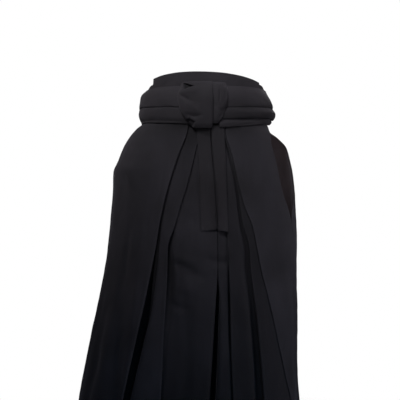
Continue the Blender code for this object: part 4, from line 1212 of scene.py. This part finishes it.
def stitching(name, rows):
    """Raised stitches as one mesh: each is a short thread that dips into the cloth at its ends."""
    middle, along, up = (np.array(values) for values in zip(*(stitch for row in rows for stitch in row)))
    wide, lift, dip = unit(np.cross(along, up)) * THREAD, up * THREAD, -0.9 * up * THREAD
    corners = ((1, 0), (0, 1), (-1, 0), (0, -1))
    rings = [middle + k * 0.55 * along + lift * s + wide * c for k in (-1, 1) for c, s in corners]
    points = np.stack([middle - along + dip, *rings, middle + along + dip], 1)
    one = [(0, 2, 1), (0, 3, 2), (0, 4, 3), (0, 1, 4), (9, 5, 6), (9, 6, 7), (9, 7, 8), (9, 8, 5)]
    one += [(1, 2, 6, 5), (2, 3, 7, 6), (3, 4, 8, 7), (4, 1, 5, 8)]
    faces = [tuple(10 * i + v for v in face) for i in range(len(points)) for face in one]
    turns = np.array([(0.0, 0.0), *((0.25 * k, way) for way in (0.25, 0.75) for k in range(4)), (0.0, 1.0)])
    flat = np.tile(turns * (math.tau * THREAD, STITCH_LENGTH), (len(points), 1))
    mesh = cloth_mesh(name, points, faces, flat)
    mesh.update()
    mesh.materials.append(MATERIALS["black tape"])
    obj = linked(name, mesh)
    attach(obj, "root")


def sewn(points, off):
    """A grid's outer face and facing with its runs, along its rows and then along its columns."""
    facing = outward(points)
    grid = (points + facing * off, facing)
    return (grid, lengths(points, 1)), ([v.swapaxes(0, 1) for v in grid], lengths(points, 0).T)


for name in ("front_waistband", "back_board", *list(STRAPS)[1:], *TAILS):
    board = name == "back_board"
    half = BOARD["thick"] / 2 if board else TAIL / 2 if name in TAILS else STRAP / 2
    inset = BOARD_INSET if board else BAND_INSET if name == "front_waistband" else EDGE_INSET
    ends = (inset, -inset) if board else (-inset,) if name in TAILS else ()
    by_row, by_column = sewn(GRIDS[name], half)
    rows = [row_of_stitches(*by_row, at) for at in (inset, -inset)]
    rows += [row_of_stitches(*by_column, at) for at in ends]
    stitching(f"{name}_stitching", rows)

# on the panels: along the slits, round the hem, under the board, and a tack at the end of each slit
for side, hip in HIPS:
    for panel in ("front", "back"):
        ((face, facing), runs), by_column = sewn(GRIDS[f"{panel}_panel_{hip}"], CLOTH / 2)
        slit = (HEIGHTS < SLIT_TOP) & (HEIGHTS > SLIT_END)
        rows = [row_of_stitches((face[slit], facing[slit]), runs[slit], SLIT_INSET + SLIT_ROW)]
        rows.append(row_of_stitches(*by_column, -HEM_INSET, HEM_PITCH))
        if panel == "back":
            rows.append(row_of_stitches(*by_column, TOP_INSET))
        end = int(np.argmin(np.abs(HEIGHTS - SLIT_END)))
        tack = slice(end, end + TACKS)
        start, stop = (line_on(face[tack], runs[tack], SLIT_ROW + d) for d in (TACK_START, TACK_LENGTH))
        up = line_on(facing[tack], runs[tack], SLIT_ROW + TACK_START)
        rows.append(list(zip((start + stop) / 2, (stop - start) / 2, up)))
        stitching(f"{panel}_{hip}_stitching", rows)


# ---------------------------------------------------------------- floor, light, camera
def floor_disc(radius, z):
    """A pale floor round the garment, which fades out towards its rim."""
    rings, count = 24, 96
    angle = np.linspace(0, math.tau, count, endpoint=False)
    points = [(0.0, 0.0, z)]
    for r in (radius * k / rings for k in range(1, rings + 1)):
        points += [(r * math.cos(a), r * math.sin(a), z) for a in angle]
    faces = [(0, 1 + k, 1 + (k + 1) % count) for k in range(count)]
    for low in range(1, 1 + (rings - 1) * count, count):
        ring = [(low + i, low + (i + 1) % count) for i in range(count)]
        faces += [(a, a + count, b + count, b) for a, b in ring]
    mesh = bpy.data.meshes.new("floor")
    mesh.from_pydata(points, [], faces)
    obj = linked("floor", mesh)
    material = bpy.data.materials.new("pale floor")
    tree, add = nodes_of(material)
    shader = tree.nodes["Principled BSDF"]
    shader.inputs["Base Color"].default_value = (0.80, 0.80, 0.80, 1)
    shader.inputs["Roughness"].default_value = 0.8
    shader.inputs["Specular IOR Level"].default_value = 0.1
    place = add("ShaderNodeMapping", (0, add("ShaderNodeTexCoord").outputs[3]), in_3=(1, 1, 0)).outputs[0]
    away = add("ShaderNodeVectorMath", (0, place), operation="LENGTH").outputs[1]
    fade = add(
        "ShaderNodeMapRange", (0, away), interpolation_type="SMOOTHSTEP",
        in_1=0.30 * radius, in_2=0.98 * radius, in_3=1.0, in_4=0.0,
    )
    tree.links.new(fade.outputs[0], shader.inputs["Alpha"])
    mesh.materials.append(material)


FLOOR_RADIUS, FLOOR_Z = 0.70, -0.985
floor_disc(FLOOR_RADIUS, FLOOR_Z)

# the light round the garment is dim and bluer below; the camera sees plain white behind it
world = bpy.data.worlds.new("studio")
bpy.context.scene.world = world
tree, add = nodes_of(world)
sky = tree.nodes["Background"]
direction = add("ShaderNodeSeparateXYZ", (0, add("ShaderNodeTexCoord").outputs[0]))
level = add("ShaderNodeMapRange", (0, direction.outputs[2]), in_1=-1.0, in_2=1.0, in_3=0.0, in_4=1.0)
ramp = add("ShaderNodeValToRGB", (0, level.outputs[0]))
for stop, colour in zip(ramp.color_ramp.elements, ((0.052, 0.068, 0.095, 1), (0.20, 0.20, 0.22, 1))):
    stop.color = colour
seen = add("ShaderNodeLightPath").outputs["Is Camera Ray"]
backdrop = add("ShaderNodeMixRGB", (0, seen), (1, ramp.outputs[0]), in_2=(1.0, 1.0, 1.0, 1))
tree.links.new(backdrop.outputs[0], sky.inputs[0])
sky.inputs[1].default_value = 1.0

LIGHTS = (  # name, place, aim, size, power, colour and spread in degrees
    ("key", (-0.45, -1.10, 1.15), (-0.02, -0.1, 0.08), 0.6, 7.8, (1.0, 0.96, 0.95), 46),
    ("fill", (1.45, -0.85, -0.10), (0.22, -0.1, -0.48), 0.8, 3.8, (0.98, 0.94, 1.0), 48),
    ("front", (0.30, -2.30, 0.10), (0.11, 0.0, -0.04), 0.5, 1.6, (1.0, 0.94, 0.94), 36),
    ("low", (0.15, -1.60, -0.95), (0.0, -0.2, -0.92), 0.8, 0.8, (0.18, 0.58, 1.0), 32),
    ("inside", (0.02, 0.00, -0.16), (0.24, 0.06, -0.17), 0.16, 0.9, (1.0, 0.76, 0.70), 150),
    ("rim_right", (-1.5, 0.5, 0.6), (-0.1, 0, -0.2), 0.9, 3.5, (1.0, 0.86, 0.84), 90),
    ("rim_left", (1.5, 0.5, 0.6), (0.1, 0, -0.2), 0.9, 3, (1.0, 0.86, 0.84), 90),
    ("back", (0.3, 1.8, 1.1), (0, 0.1, -0.2), 0.9, 14, (1.0, 0.98, 0.96), 90),
)
for name, location, aim, size, power, colour, spread in LIGHTS:
    data = bpy.data.lights.new(name, "AREA")
    data.shape, data.size, data.energy, data.color = "DISK", size, power, colour
    data.spread = math.radians(spread)
    lamp = linked(name, data)
    lamp.location = location
    lamp.rotation_mode = "QUATERNION"
    lamp.rotation_quaternion = (lamp.location - type(lamp.location)(aim)).to_track_quat("Z", "Y")
    lamp.visible_camera = False

SENSOR, FOCAL_PIXELS, PICTURE_PIXELS = 36.0, 674.5, 400
data = bpy.data.cameras.new("camera")
data.sensor_width, data.lens = SENSOR, FOCAL_PIXELS / PICTURE_PIXELS * SENSOR
data.clip_start, data.clip_end = 0.05, 40
camera = linked("camera", data)
camera.location = (-0.017, -1.9, -0.277)
camera.rotation_euler = (math.radians(90), 0, 0)
bpy.context.scene.camera = camera
bpy.context.scene.view_settings.view_transform = "Standard"
